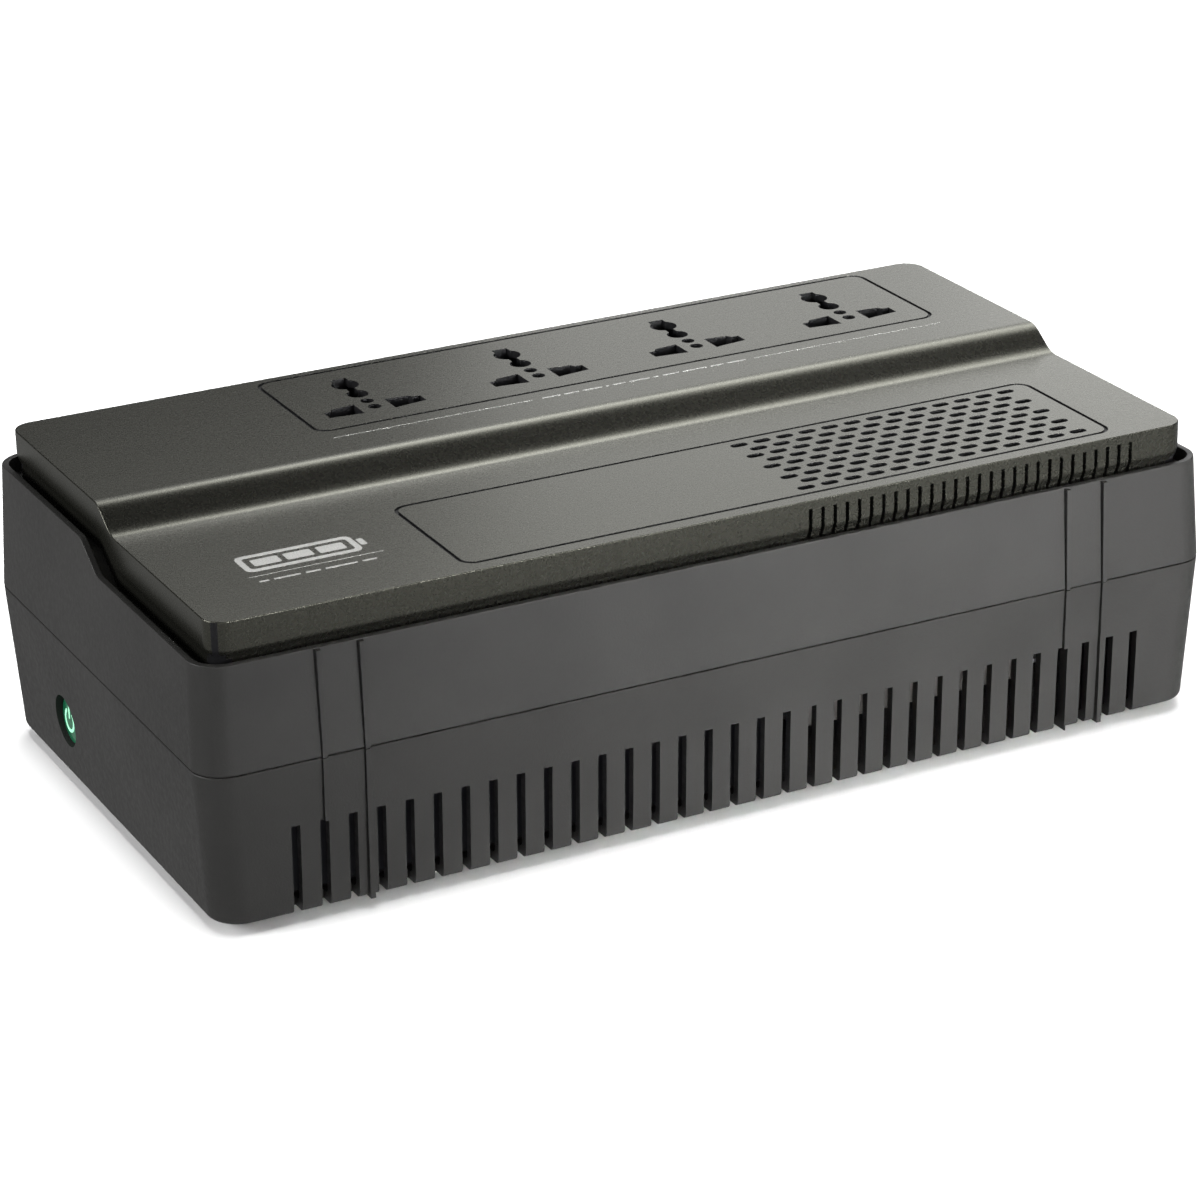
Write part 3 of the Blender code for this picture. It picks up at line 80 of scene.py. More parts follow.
CORNER_RADIUS, COVER_RADIUS = 0.0090, 0.0060
BASE_EDGE, SEAM_EDGE, RIM_EDGE, DECK_EDGE, FLOOR_EDGE = 0.0016, 0.00022, 0.00030, 0.0003, 0.0008
CASE_SOFTENING, COVER_SOFTENING = 0.00016, 0.00012
SHARP_ANGLE, COVER_SHARP_ANGLE, SHADING_ANGLE = 40, 50, 35  # degrees, from which an edge counts as sharp
SEAM_GAP = 0.0003
RIM_WALL, LEDGE_WIDTH, GUTTER_DEPTH, LEDGE_THICKNESS = 0.0019, 0.0070, 0.0044, 0.0006

CASE_STEP = (-0.0046, 0.0072, 0.0016)  # foot, top and easing of the slope across the rim
COVER_STEP = (-0.0046, 0.0044, 0.0026)  # the same for the cover's slope
STATION_START, STATION_SPAN, STATION_COUNT = -0.0104, 0.0234, 27  # where outlines follow those slopes
STATIONS = [STATION_START + STATION_SPAN * i / (STATION_COUNT - 1) for i in range(STATION_COUNT)]

RIB_XS, RIB_WIDTH, RIB_ROOT = (-0.1195, -0.1076, 0.1049, 0.1168), 0.0014, 0.0045
RIB_RISE, RIB_LEAN = (RIB_SPAN - WIDTH) / 2, 0.6  # the ribs lean in for this share of the walls' lean
SLOT_COUNT, SLOT_PITCH, SLOT_WIDTH, SLOT_REACH = 33, 0.0080, 0.0025, 0.0050
SLOT_TOP_Z = CASE_Z + SLOT_TOP_HEIGHT
CUT_PAST, SLOT_PAST = 0.002, 0.003  # how far cutters run past the surface that they open

OUTLET_BOXES = [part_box(f"socket_body_{i}") for i in range(1, 5)]
OUTLET_XS = [(low[0] + high[0]) / 2 for low, high in OUTLET_BOXES]
PIN_LINE_Y, EARTH_RISE = 0.0364, 0.0222
SMALL_HOLE_RADIUS, SMALL_HOLE_YS = 0.0019, (0.0056, 0.0004)
PANEL_XS, PANEL_HIGH_YS, PANEL_LOW_YS = (-0.0738, 0.1248), (0.0250, 0.0705), (-0.0688, -0.0230)
PANEL_RADIUS, GROOVE_WIDTH, GROOVE_DEPTH = 0.0040, 0.0011, 0.0005
VENT_ROWS, VENT_COLUMNS, VENT_PITCH_X, VENT_PITCH_Y = 9, 13, 0.00723, 0.00467
VENT_LENGTH, VENT_HEIGHT, VENT_MID_X, VENT_MID_Y = 0.0053, 0.0026, 0.0730, -0.0459
HOLE_DEPTH = 0.006
SLIT_COUNT, SLIT_PITCH, SLIT_WIDTH, SLIT_MID_X, SLIT_DEPTH = 28, 0.00378, 0.0011, 0.0768, 0.004
SLIT_TOP_Z = CASE_Z + SLIT_TOP_HEIGHT
SKIRT = ((0.0011, 0.0002), (0.0004, -0.0012), (0, -0.0026))  # inset and drop at the cover's foot
COVER_GAP = 0.0002
HOLE_SHADE_START, HOLE_SHADE_DROP = SKIRT[0][0] + 0.00002, 0.0002  # how far in and down the black of the painted shade begins

BUTTON_BOX, INLET_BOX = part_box("power_button"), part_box("ac_inlet")
BUTTON_Y, BUTTON_Z = ((BUTTON_BOX[0][i] + BUTTON_BOX[1][i]) / 2 for i in (1, 2))
BUTTON_HOLE, BUTTON_RADIUS, BUTTON_HOLE_XS = 0.0075, 0.0070, (-0.16, -0.14)
INLET_Y, INLET_Z = ((INLET_BOX[0][i] + INLET_BOX[1][i]) / 2 for i in (1, 2))
FLANGE_X = INLET_BOX[1][0]
PANEL_X, PAD_X = LENGTH / 2 - 0.0040, LENGTH / 2 - 0.0022
POCKET_YS, POCKET_ZS = (-0.0400, 0.0240), (CASE_Z + 0.0085, CASE_Z + 0.0365)
POCKET_RADIUS, POCKET_PAST, PANEL_CUT = 0.0020, 0.004, 0.01
BREAKER_Y, BREAKER_HOLE = 0.0120, 0.0051
BOSS_X, BOSS_Y, SCREW_SEAT_Z = 0.1390, 0.0640, SEAM_Z - 0.0100
BOSS_RADIUS, WELL_RADIUS, BOSS_SINK, BOSS_GAP = 0.0050, 0.0037, 0.001, 0.0006
FOOT_X, FOOT_Y, FOOT_RADIUS, FOOT_RECESS, FOOT_GAP = 0.1180, 0.0600, 0.0070, 0.0010, 0.0003
KEYHOLE_X, KEYHOLE_Y = 0.0900, 0.0480
CORNERS = [(x, y) for x in (-1, 1) for y in (-1, 1)]
SMALL = 0.000002


# ---- materials -------------------------------------------
class Shader:
    """A Principled material with short ways to add texture nodes to it."""

    def __init__(self, name, colour, roughness, metallic=0.0, specular=0.5):
        self.material = bpy.data.materials.new(name)
        self.material.use_nodes = True
        self.tree = self.material.node_tree
        self.principled = self.tree.nodes["Principled BSDF"]
        self.set("Base Color", (*colour, 1.0))
        self.set("Roughness", roughness)
        self.set("Metallic", metallic)
        self.set("Specular IOR Level", specular)
        self.place = self.tree.nodes.new("ShaderNodeTexCoord").outputs["Object"]

    def set(self, socket, value):
        self.principled.inputs[socket].default_value = value

    def node(self, kind, **settings):
        made = self.tree.nodes.new(kind)
        for key, value in settings.items():
            setattr(made, key, value)
        return made

    def link(self, start, end):
        self.tree.links.new(start, end)

    def noise(self, scale, detail=2.0, rough=0.5, stretch=None):
        texture = self.node("ShaderNodeTexNoise")
        texture.inputs["Scale"].default_value = scale
        texture.inputs["Detail"].default_value = detail
        texture.inputs["Roughness"].default_value = rough
        place = self.place
        if stretch:
            mapping = self.node("ShaderNodeMapping")
            mapping.inputs["Scale"].default_value = stretch
            self.link(place, mapping.inputs["Vector"])
            place = mapping.outputs["Vector"]
        self.link(place, texture.inputs["Vector"])
        return texture.outputs["Fac"]

    def cells(self, scale):
        texture = self.node("ShaderNodeTexVoronoi")
        texture.inputs["Scale"].default_value = scale
        self.link(self.place, texture.inputs["Vector"])
        return texture.outputs["Distance"]

    def ramp(self, value, stops):
        """stops are (position, colour) pairs; the value picks between them."""
        node = self.node("ShaderNodeValToRGB")
        elements = node.color_ramp.elements
        while len(elements) < len(stops):
            elements.new(0.5)
        for element, (position, colour) in zip(elements, stops):
            element.position = position
            element.color = (*colour, 1.0)
        self.link(value, node.inputs["Fac"])
        return node.outputs["Color"]

    def map(self, value, low, high, start=0.3, end=0.7):
        node = self.node("ShaderNodeMapRange")
        for key, number in (("From Min", start), ("From Max", end), ("To Min", low), ("To Max", high)):
            node.inputs[key].default_value = number
        self.link(value, node.inputs["Value"])
        return node.outputs["Result"]

    def colour_by(self, value, low, high, start=0.3, end=0.7):
        self.link(self.ramp(value, ((start, low), (end, high))), self.principled.inputs["Base Color"])

    def roughness_by(self, value, low, high, start=0.3, end=0.7):
        self.link(self.map(value, low, high, start, end), self.principled.inputs["Roughness"])

    def bump(self, value, depth):
        node = self.node("ShaderNodeBump")
        node.inputs["Distance"].default_value = depth
        self.link(value, node.inputs["Height"])
        previous = self.principled.inputs["Normal"].links
        if previous:
            self.link(previous[0].from_socket, node.inputs["Normal"])
        self.link(node.outputs["Normal"], self.principled.inputs["Normal"])


def shade_of(colour, factor):
    return tuple(min(1.0, channel * factor) for channel in colour)


def moulded(name, colour, roughness=0.5, grain=1500.0, depth=0.00004, specular=0.5, variation=0.12):
    """Moulded plastic: a fine eroded grain, slight mottling of colour and gloss."""
    shader = Shader(name, colour, roughness, specular=specular)
    mottle = shader.noise(35.0, 3.0)
    shader.colour_by(mottle, shade_of(colour, 1 - variation), shade_of(colour, 1 + variation))
    shader.roughness_by(shader.noise(grain / 3, 2.0), roughness - 0.06, roughness + 0.06)
    shader.bump(shader.noise(grain, 2.0, 0.6), depth)
    return shader


def flecked_cover():
    """Warm grey plastic with a metallic fleck and a very fine grain."""
    base = (0.084, 0.084, 0.070)
    shader = Shader("cover_plastic", base, 0.27, metallic=0.9)
    fleck = shader.noise(3800.0, 1.0, 0.7)
    shader.colour_by(fleck, shade_of(base, 0.90), shade_of(base, 1.12), 0.36, 0.66)
    shader.roughness_by(shader.noise(900.0, 2.0), 0.26, 0.29)
    shader.bump(shader.noise(2600.0, 2.0, 0.6), 0.000003)
    shader.bump(shader.noise(60.0, 1.0), 0.00002)
    return shader


def metal(name, colour, roughness):
    """Bare metal with fine level lines, as rolled or drawn."""
    shader = Shader(name, colour, roughness, metallic=1.0)
    lines = shader.noise(900.0, 3.0, 0.6, (1.0, 1.0, 12.0))
    shader.roughness_by(lines, roughness - 0.08, roughness + 0.10)
    shader.colour_by(shader.noise(140.0, 3.0), shade_of(colour, 0.86), shade_of(colour, 1.08))
    shader.bump(lines, 0.00001)
    return shader


def laminations():
    """Stacked sheet steel: the sheets' edges show as lines along the stack, under varnish."""
    shader = Shader("lamination_steel", (0.17, 0.165, 0.16), 0.45, metallic=0.7)
    wave = shader.node("ShaderNodeTexWave", bands_direction="Y")
    wave.inputs["Scale"].default_value = 320.0
    wave.inputs["Distortion"].default_value = 0.6
    shader.link(shader.place, wave.inputs["Vector"])
    shader.colour_by(wave.outputs["Fac"], (0.09, 0.085, 0.08), (0.24, 0.23, 0.22), 0.2, 0.8)
    shader.bump(wave.outputs["Fac"], 0.00008)
    shader.bump(shader.noise(400.0), 0.00003)
    return shader


def coil_tape():
    """Yellow polyester tape, wound so that its edges show as low steps."""
    shader = Shader("coil_tape", (0.62, 0.44, 0.06), 0.32)
    shader.set("Coat Weight", 0.3)
    wave = shader.node("ShaderNodeTexWave", bands_direction="Z", wave_profile="SAW")
    wave.inputs["Scale"].default_value = 22.0
    wave.inputs["Distortion"].default_value = 0.4
    shader.link(shader.place, wave.inputs["Vector"])
    shader.colour_by(wave.outputs["Fac"], (0.50, 0.33, 0.04), (0.68, 0.50, 0.08), 0.1, 0.9)
    shader.bump(wave.outputs["Fac"], 0.0001)
    return shader


def circuit_board():
    """Green solder mask over tracks, with a scatter of bright solder points."""
    green = (0.012, 0.11, 0.035)
    shader = Shader("circuit_board", green, 0.35)
    tracks = shader.cells(320.0)
    stops = ((0.05, (0.75, 0.75, 0.72)), (0.12, (0.02, 0.16, 0.05)), (0.45, green))
    shader.link(shader.ramp(tracks, stops), shader.principled.inputs["Base Color"])
    shader.bump(tracks, 0.00005)
    shader.roughness_by(tracks, 0.25, 0.45)
    return shader


def lit_lens():
    """Deep green translucent plastic with light behind it."""
    shader = Shader("green_lens", (0.003, 0.085, 0.036), 0.28)
    shader.set("Coat Weight", 0.4)
    shader.set("Subsurface Weight", 0.15)
    shader.set("Emission Strength", 0.2)
    glow = shader.noise(160.0, 2.0)
    colour = shader.ramp(glow, ((0.3, (0.0, 0.16, 0.07)), (0.7, (0.01, 0.30, 0.14))))
    shader.link(colour, shader.principled.inputs["Emission Color"])
    shader.bump(shader.noise(1800.0), 0.00001)
    return shader


def lit_mark():
    """Pale green mark on the button, lit from behind."""
    shader = Shader("lit_mark", (0.35, 0.85, 0.55), 0.35)
    shader.set("Emission Strength", 0.55)
    shader.link(shader.ramp(shader.noise(500.0), ((0.3, (0.30, 0.85, 0.55)), (0.7, (0.45, 0.95, 0.65)))),
                shader.principled.inputs["Emission Color"])
    return shader


def silver_ink():
    shader = Shader("silver_ink", (0.55, 0.55, 0.53), 0.40, metallic=0.3)
    shader.colour_by(shader.noise(2500.0, 2.0), (0.46, 0.46, 0.44), (0.66, 0.66, 0.64))
    shader.roughness_by(shader.noise(1200.0), 0.30, 0.46)
    return shader


def clear_glass():
    shader = Shader("fuse_glass", (0.85, 0.90, 0.90), 0.06)
    shader.set("Transmission Weight", 0.85)
    shader.set("IOR", 1.47)
    shader.bump(shader.noise(60.0), 0.00002)
    return shader


def insulation(name, colour):
    shader = Shader(name, colour, 0.42)
    shader.colour_by(shader.noise(300.0, 2.0), shade_of(colour, 0.85), shade_of(colour, 1.15))
    shader.bump(shader.noise(1200.0), 0.00002)
    return shader


def studio_floor():
    """A white floor, which stays white far from the lamps."""
    shader = Shader("studio_floor", (0.86, 0.86, 0.86), 0.65)
    shader.roughness_by(shader.noise(4.0), 0.60, 0.70)
    distance = shader.node("ShaderNodeVectorMath", operation="LENGTH")
    shader.link(shader.place, distance.inputs[0])
    shader.set("Emission Color", (1.0, 1.0, 1.0, 1.0))
    shader.link(shader.map(distance.outputs["Value"], 0.0, 1.0, 0.7, 1.6),
                shader.principled.inputs["Emission Strength"])
    return shader


FINISHES = {
    "shell_plastic": moulded("shell_plastic", (0.0285, 0.028, 0.027), 0.46, 1700.0, 0.00005, 0.25),
    "cover_plastic": flecked_cover(),
    "rubber": moulded("rubber", (0.018, 0.018, 0.018), 0.82, 900.0, 0.00006),
    "zinc_steel": metal("zinc_steel", (0.60, 0.61, 0.63), 0.32),
    "brass": metal("brass", (0.72, 0.52, 0.22), 0.30),
    "aluminium": metal("aluminium", (0.70, 0.71, 0.73), 0.38),
    "black_plastic": moulded("black_plastic", (0.009, 0.009, 0.010), 0.50, 1400.0, 0.00004, 0.2),
    "green_lens": lit_lens(),
    "battery_plastic": moulded("battery_plastic", (0.05, 0.053, 0.06), 0.5, 700.0, 0.00008),
    "lamination_steel": laminations(),
    "coil_tape": coil_tape(),
    "circuit_board": circuit_board(),
    "relay_blue": moulded("relay_blue", (0.02, 0.08, 0.30), 0.38),
    "capacitor_sleeve": moulded("capacitor_sleeve", (0.015, 0.02, 0.05), 0.30, 600.0, 0.00002),
    "fuse_glass": clear_glass(),
    "red_wire": insulation("red_wire", (0.40, 0.015, 0.012)),
    "black_wire": insulation("black_wire", (0.015, 0.015, 0.015)),
    "brown_wire": insulation("brown_wire", (0.13, 0.05, 0.02)),
    "blue_wire": insulation("blue_wire", (0.02, 0.08, 0.36)),
    "earth_wire": insulation("earth_wire", (0.20, 0.36, 0.02)),
}
LIT_MARK = lit_mark()
SILVER_INK = silver_ink()


def dress_frame():
    """Every CAD node that stays visible takes the finish of its material slot."""
    for entry in frame["record"]["subparts"]:
        node = NODES[entry["node"]]
        node.data.materials.clear()
        node.data.materials.append(FINISHES[entry["material_slot"]].material)


# ---- mesh helpers ----------------------------------------
def new_object(name, bm):
    bmesh.ops.recalc_face_normals(bm, faces=bm.faces)
    mesh = bpy.data.meshes.new(name)
    bm.to_mesh(mesh)
    bm.free()
    obj = bpy.data.objects.new(name, mesh)
    bpy.context.scene.collection.objects.link(obj)
    return obj


def apply_modifiers(obj):
    graph = bpy.context.evaluated_depsgraph_get()
    mesh = bpy.data.meshes.new_from_object(obj.evaluated_get(graph))
    obj.modifiers.clear()
    obj.data = mesh


def combine(obj, tool, operation):
    """Boolean with a helper object, which is then removed."""
    modifier = obj.modifiers.new(tool.name, "BOOLEAN")
    modifier.operation = operation
    modifier.object = tool
    modifier.solver = "EXACT"
    apply_modifiers(obj)
    bpy.data.objects.remove(tool)


def soften(obj, width, angle, segments=2):
    """A small round on every edge sharper than the angle."""
    modifier = obj.modifiers.new("soften", "BEVEL")
    modifier.width = width
    modifier.segments = segments
    modifier.limit_method = "ANGLE"
    modifier.angle_limit = math.radians(angle)
    modifier.use_clamp_overlap = True
    apply_modifiers(obj)


def finish_piece(obj, finish, body, *nodes):
    """Material and smooth shading; the piece then rides on its body and replaces the named CAD nodes."""
    obj.data.materials.clear()
    obj.data.materials.append(finish.material)
    obj.data.shade_smooth()
    obj.data.set_sharp_from_angle(angle=math.radians(SHADING_ANGLE))
    weigh = obj.modifiers.new("flat_normals", "WEIGHTED_NORMAL")
    weigh.keep_sharp = True
    weigh.weight = 100
    apply_modifiers(obj)
    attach(obj, body)
    if nodes:
        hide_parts(*nodes)


def about(middle, half):
    """The ends of a range that reaches half to each side of its middle."""
    return middle - half, middle + half


def arc(x, y, radius, turns):
    """Points round a centre, one for each angle in turns."""
    return [(x + radius * math.cos(turn), y + radius * math.sin(turn)) for turn in turns]


def rounded_rectangle(xs, ys, radius, steps=6):
    points = []
    corners = ((xs[1], ys[1], 0), (xs[0], ys[1], 90), (xs[0], ys[0], 180), (xs[1], ys[0], 270))
    mid_x, mid_y = sum(xs) / 2, sum(ys) / 2
    for x, y, start in corners:
        centre = (x - math.copysign(radius, x - mid_x), y - math.copysign(radius, y - mid_y))
        points += arc(*centre, radius, [math.radians(start + 90 * i / steps) for i in range(steps + 1)])
    return points


AXES = {"X": (Vector((0, 1, 0)), Vector((0, 0, 1)), Vector((1, 0, 0))),
        "Z": (Vector((1, 0, 0)), Vector((0, 1, 0)), Vector((0, 0, 1)))}


def add_prism(bm, outline, axis, low, high):
    """A prism of a flat outline, whose points lie across the named axis."""
    u, v, along = AXES[axis]
    rings = []
    for level in (low, high):
        rings.append([bm.verts.new(u * a + v * b + along * level) for a, b in outline])
    bm.faces.new(rings[0][::-1])
    bm.faces.new(rings[1])
    count = len(outline)
    for i in range(count):
        j = (i + 1) % count
        bm.faces.new((rings[0][i], rings[0][j], rings[1][j], rings[1][i]))


def prisms(name, outlines, axis, low, high):
    bm = bmesh.new()
    for outline in outlines:
        add_prism(bm, outline, axis, low, high)
    return new_object(name, bm)


def boxes(name, ranges):
    bm = bmesh.new()
    for xs, ys, zs in ranges:
        add_prism(bm, ((xs[0], ys[0]), (xs[1], ys[0]), (xs[1], ys[1]), (xs[0], ys[1])), "Z", *zs)
    return new_object(name, bm)


def circle(x, y, radius, steps=32):
    turn = 2 * math.pi / steps
    return arc(x, y, radius, [turn * i for i in range(steps)])


def stadium(x, y, length, height, steps=5):
    """A slot with round ends along x."""
    radius = height / 2
    points = []
    for centre, start in ((x + length / 2 - radius, -90), (x - length / 2 + radius, 90)):
        points += arc(centre, y, radius, [math.radians(start + 180 * i / steps) for i in range(steps + 1)])
    return points


def lathe(name, profile, place, direction, steps=48):
    """A solid turned about the direction through the place, from (radius, distance along) points."""
    turn = Vector(direction).to_track_quat("Z", "Y").to_matrix()
    bm = bmesh.new()
    rings = []
    for radius, along in profile:
        if radius < SMALL:
            rings.append([bm.verts.new(Vector(place) + turn @ Vector((0, 0, along)))])
            continue
        ring = []
        for i in range(steps):
            angle = 2 * math.pi * i / steps
            point = Vector((radius * math.cos(angle), radius * math.sin(angle), along))
            ring.append(bm.verts.new(Vector(place) + turn @ point))
        rings.append(ring)
    for a, b in zip(rings, rings[1:]):
        for i in range(steps):
            j = (i + 1) % steps
            corners = [a[i % len(a)], a[j % len(a)], b[j % len(b)], b[i % len(b)]]
            bm.faces.new(list(dict.fromkeys(corners)))
    return new_object(name, bm)


def quarter(radius, steps=4):
    """(in from the side, down from the top) along a rounded edge, from the side to the top."""
    turns = [math.pi / 2 * i / steps for i in range(steps + 1)]
    return [(radius * (1 - math.cos(a)), radius * (1 - math.sin(a))) for a in turns]


# ---- the case's leaning walls ----------------------------
def step_height(y, low, high, foot, top, ease):
    """Height across a slope from foot to top, with both bends eased over +-ease."""

    def climb(distance):
        if distance <= -ease:
            return 0.0
        return distance if distance >= ease else (distance + ease) ** 2 / (4 * ease)

    return low + (high - low) / (top - foot) * (climb(y - foot) - climb(y - top))


def rim_z(y, drop):
    return step_height(y, RIM_FRONT_Z, RIM_REAR_Z, *CASE_STEP) - drop


def deck_z(y, drop=0.0):
    return step_height(y, DECK_LOW_Z, DECK_HIGH_Z, *COVER_STEP) - drop


def at_rim(inset, drop):
    """An inset, and the height rule that keeps a ring at a drop below the rim."""
    return inset, lambda y: rim_z(y, drop)


def at_deck(inset, drop):
    return inset, lambda y: deck_z(y, drop)


CORNER_STEPS = 10


def plan(size, radius):
    """Outline seen from above, with points along both ends where the slopes cross them."""
    half_x, half_y = size[0] / 2, size[1] / 2
    corner = rounded_rectangle((-half_x, half_x), (-half_y, half_y), radius, CORNER_STEPS)
    half = 2 * (CORNER_STEPS + 1)
    left = [(-half_x, y) for y in reversed(STATIONS)]
    right = [(half_x, y) for y in STATIONS]
    return corner[:half] + left + corner[half:] + right


def case_ring(inset, height):
    """The case's outline, inset from its leaning outer face; height gives z at a point's y."""
    seam = plan((LENGTH - 2 * inset, WIDTH - 2 * inset), CORNER_RADIUS - inset)
    ring = []
    upper = plan((RIM_LENGTH - 2 * inset, RIM_WIDTH - 2 * inset), CORNER_RADIUS - inset)
    lower = plan((BASE_LENGTH - 2 * inset, BASE_WIDTH - 2 * inset), CORNER_RADIUS - inset)
    for i, (x, y) in enumerate(seam):
        z = height(y)
        far, far_z = (upper, RIM_REAR_Z) if z > SEAM_Z else (lower, CASE_Z)
        share = (z - SEAM_Z) / (far_z - SEAM_Z)
        ring.append(Vector((x + (far[i][0] - x) * share, y + (far[i][1] - y) * share, z)))
    return ring


def cover_ring(inset, height):
    size = (COVER_LENGTH - 2 * inset, COVER_WIDTH - 2 * inset)
    return [Vector((x, y, height(y))) for x, y in plan(size, COVER_RADIUS - inset)]


def loft(name, rings, capped):
    """Skin over the rings. A capped loft closes both end rings; otherwise the last meets the first."""
    bm = bmesh.new()
    made = [[bm.verts.new(point) for point in ring] for ring in rings]
    pairs = list(zip(made, made[1:]))
    if not capped:
        pairs.append((made[-1], made[0]))
    count = len(made[0])
    for a, b in pairs:
        for i in range(count):
            j = (i + 1) % count
            bm.faces.new((a[i], a[j], b[j], b[i]))
    if capped:
        for ring in (made[0], made[-1]):
            add_cap(bm, ring)
    return new_object(name, bm)


def add_cap(bm, ring):
    """Flat faces over the front and back of a stepped ring, and a strip across it at each station."""
    half, stations, last = 2 * (CORNER_STEPS + 1), len(STATIONS), len(ring) - 1
    bm.faces.new([ring[last], *ring[:half + 1]])
    bm.faces.new(ring[half + stations - 1:last - stations + 2])
    for j in range(stations - 1):
        left, right = half + j, last - j
        bm.faces.new((ring[left], ring[left + 1], ring[right - 1], ring[right]))


def wall_reach(z):
    """How far the long walls stand from the middle at a height."""
    far, far_z = (RIM_WIDTH, RIM_REAR_Z) if z > SEAM_Z else (BASE_WIDTH, CASE_Z)
    return (WIDTH + (far - WIDTH) * (z - SEAM_Z) / (far_z - SEAM_Z)) / 2


def rib_reach(z):
    """The same for the ribs, which lean in for a share of the walls' lean."""
    return wall_reach(z) * RIB_LEAN + WIDTH / 2 * (1 - RIB_LEAN) + RIB_RISE


def make_ribs(low_z, high_z):
    """Thin upright ribs on both long walls."""
    bm = bmesh.new()
    for x in RIB_XS:
        for side in (-1, 1):
            root = side * (RIB_SPAN / 2 - RIB_ROOT)
            low, high = side * rib_reach(low_z), side * rib_reach(high_z)
            outline = ((root, low_z), (low, low_z), (high, high_z), (root, high_z))
            add_prism(bm, outline, "X", *about(x, RIB_WIDTH / 2))
    return new_object("ribs", bm)


def make_lower_case():
    top = SEAM_Z - SEAM_GAP
    heights = [(WALL + FLOOR_EDGE, FLOOR_Z), (WALL, FLOOR_Z + FLOOR_EDGE), (WALL, top), (SEAM_EDGE, top)]
    heights += [(0, top - SEAM_EDGE)]
    heights += [(inset, CASE_Z + down) for inset, down in quarter(BASE_EDGE, 5)]
    case = loft("lower_case", [case_ring(inset, lambda y, z=z: z) for inset, z in heights], True)
    combine(case, make_ribs(RIB_BASE_Z, top), "UNION")
    cut_louvres(case)
    cut_mains_panel(case)
    hole = circle(BUTTON_Y, BUTTON_Z, BUTTON_HOLE, 64)
    combine(case, prisms("button_hole", [hole], "X", *BUTTON_HOLE_XS), "DIFFERENCE")
    cut_underside(case)
    soften(case, CASE_SOFTENING, SHARP_ANGLE)
    finish_piece(case, FINISHES["shell_plastic"], "case", "bottom_case")


def cut_louvres(case):
    """Upright slots along both long walls, which run in under the base."""
    slots = []
    for i in range(SLOT_COUNT):
        x = SLOT_PITCH * (i - (SLOT_COUNT - 1) / 2)
        for side in (-1, 1):
            ys = sorted((side * (WIDTH / 2 + SLOT_PAST), side * (BASE_WIDTH / 2 - SLOT_REACH)))
            slots.append((about(x, SLOT_WIDTH / 2), ys, (CASE_Z - CUT_PAST, SLOT_TOP_Z)))
    combine(case, boxes("louvres", slots), "DIFFERENCE")


def cut_mains_panel(case):
    """A thick pad in the right end, a pocket sunk in it, and the holes for the inlet and the breaker."""
    pad = [(PANEL_X - WALL, PAD_X)]
    pad += [(low - WALL, high + WALL) for low, high in (POCKET_YS, POCKET_ZS)]
    combine(case, boxes("pad", [pad]), "UNION")
    pocket = rounded_rectangle(POCKET_YS, POCKET_ZS, POCKET_RADIUS)
    combine(case, prisms("pocket", [pocket], "X", PANEL_X, LENGTH / 2 + POCKET_PAST), "DIFFERENCE")
    holes = [inlet_outline(INLET_HOLE, BODY_ROUND), circle(BREAKER_Y, INLET_Z, BREAKER_HOLE)]
    combine(case, prisms("panel_holes", holes, "X", *about(PANEL_X, PANEL_CUT)), "DIFFERENCE")


def cut_underside(case):
    """Screw bosses with deep wells, recesses for the feet, and keyholes."""
    places = [(x * BOSS_X, y * BOSS_Y) for x, y in CORNERS]
    bosses = [circle(x, y, BOSS_RADIUS) for x, y in places]
    combine(case, prisms("bosses", bosses, "Z", FLOOR_Z - BOSS_SINK, SEAM_Z - BOSS_GAP), "UNION")
    wells = [circle(x, y, WELL_RADIUS) for x, y in places]
    combine(case, prisms("wells", wells, "Z", 0, SCREW_SEAT_Z), "DIFFERENCE")
    feet = [circle(x * FOOT_X, y * FOOT_Y, FOOT_RADIUS + FOOT_GAP, 48) for x, y in CORNERS]
    combine(case, prisms("foot_recesses", feet, "Z", 0, CASE_Z + FOOT_RECESS), "DIFFERENCE")
    keyholes = [keyhole(side * KEYHOLE_X) for side in (-1, 1)]
    combine(case, prisms("keyholes", keyholes, "Z", 0, FLOOR_Z + CUT_PAST), "DIFFERENCE")


def keyhole(x):
    """A round hole with a narrow slot towards the back."""
    radius, neck, length, steps, end_steps = 0.0045, 0.0023, 0.0110, 28, 8
    start = math.asin(neck / radius)
    turns = [math.pi / 2 + start + (2 * math.pi - 2 * start) * i / steps for i in range(steps + 1)]
    half_turns = [math.pi * i / end_steps for i in range(end_steps + 1)]
    return arc(x, KEYHOLE_Y, radius, turns) + arc(x, KEYHOLE_Y + length - neck, neck, half_turns)


def make_upper_case():
    edge = quarter(RIM_EDGE, 4)
    ledge, underside = GUTTER_DEPTH, GUTTER_DEPTH + LEDGE_THICKNESS
    path = [
        (SEAM_EDGE, lambda y: SEAM_Z),
        (0, lambda y: SEAM_Z + SEAM_EDGE),
        *(at_rim(inset, down) for inset, down in edge),
        *(at_rim(RIM_WALL - inset, down) for inset, down in reversed(edge)),
        at_rim(RIM_WALL, ledge),
        at_rim(RIM_WALL + LEDGE_WIDTH, ledge),
        at_rim(RIM_WALL + LEDGE_WIDTH, underside),
        at_rim(WALL, underside),
        (WALL, lambda y: SEAM_Z),
    ]
    case = loft("upper_case_shell", [case_ring(inset, height) for inset, height in path], False)
    combine(case, make_ribs(SEAM_Z, RIM_FRONT_Z - RIM_EDGE), "UNION")
    soften(case, CASE_SOFTENING, SHARP_ANGLE)
    finish_piece(case, FINISHES["shell_plastic"], "case", "upper_case")


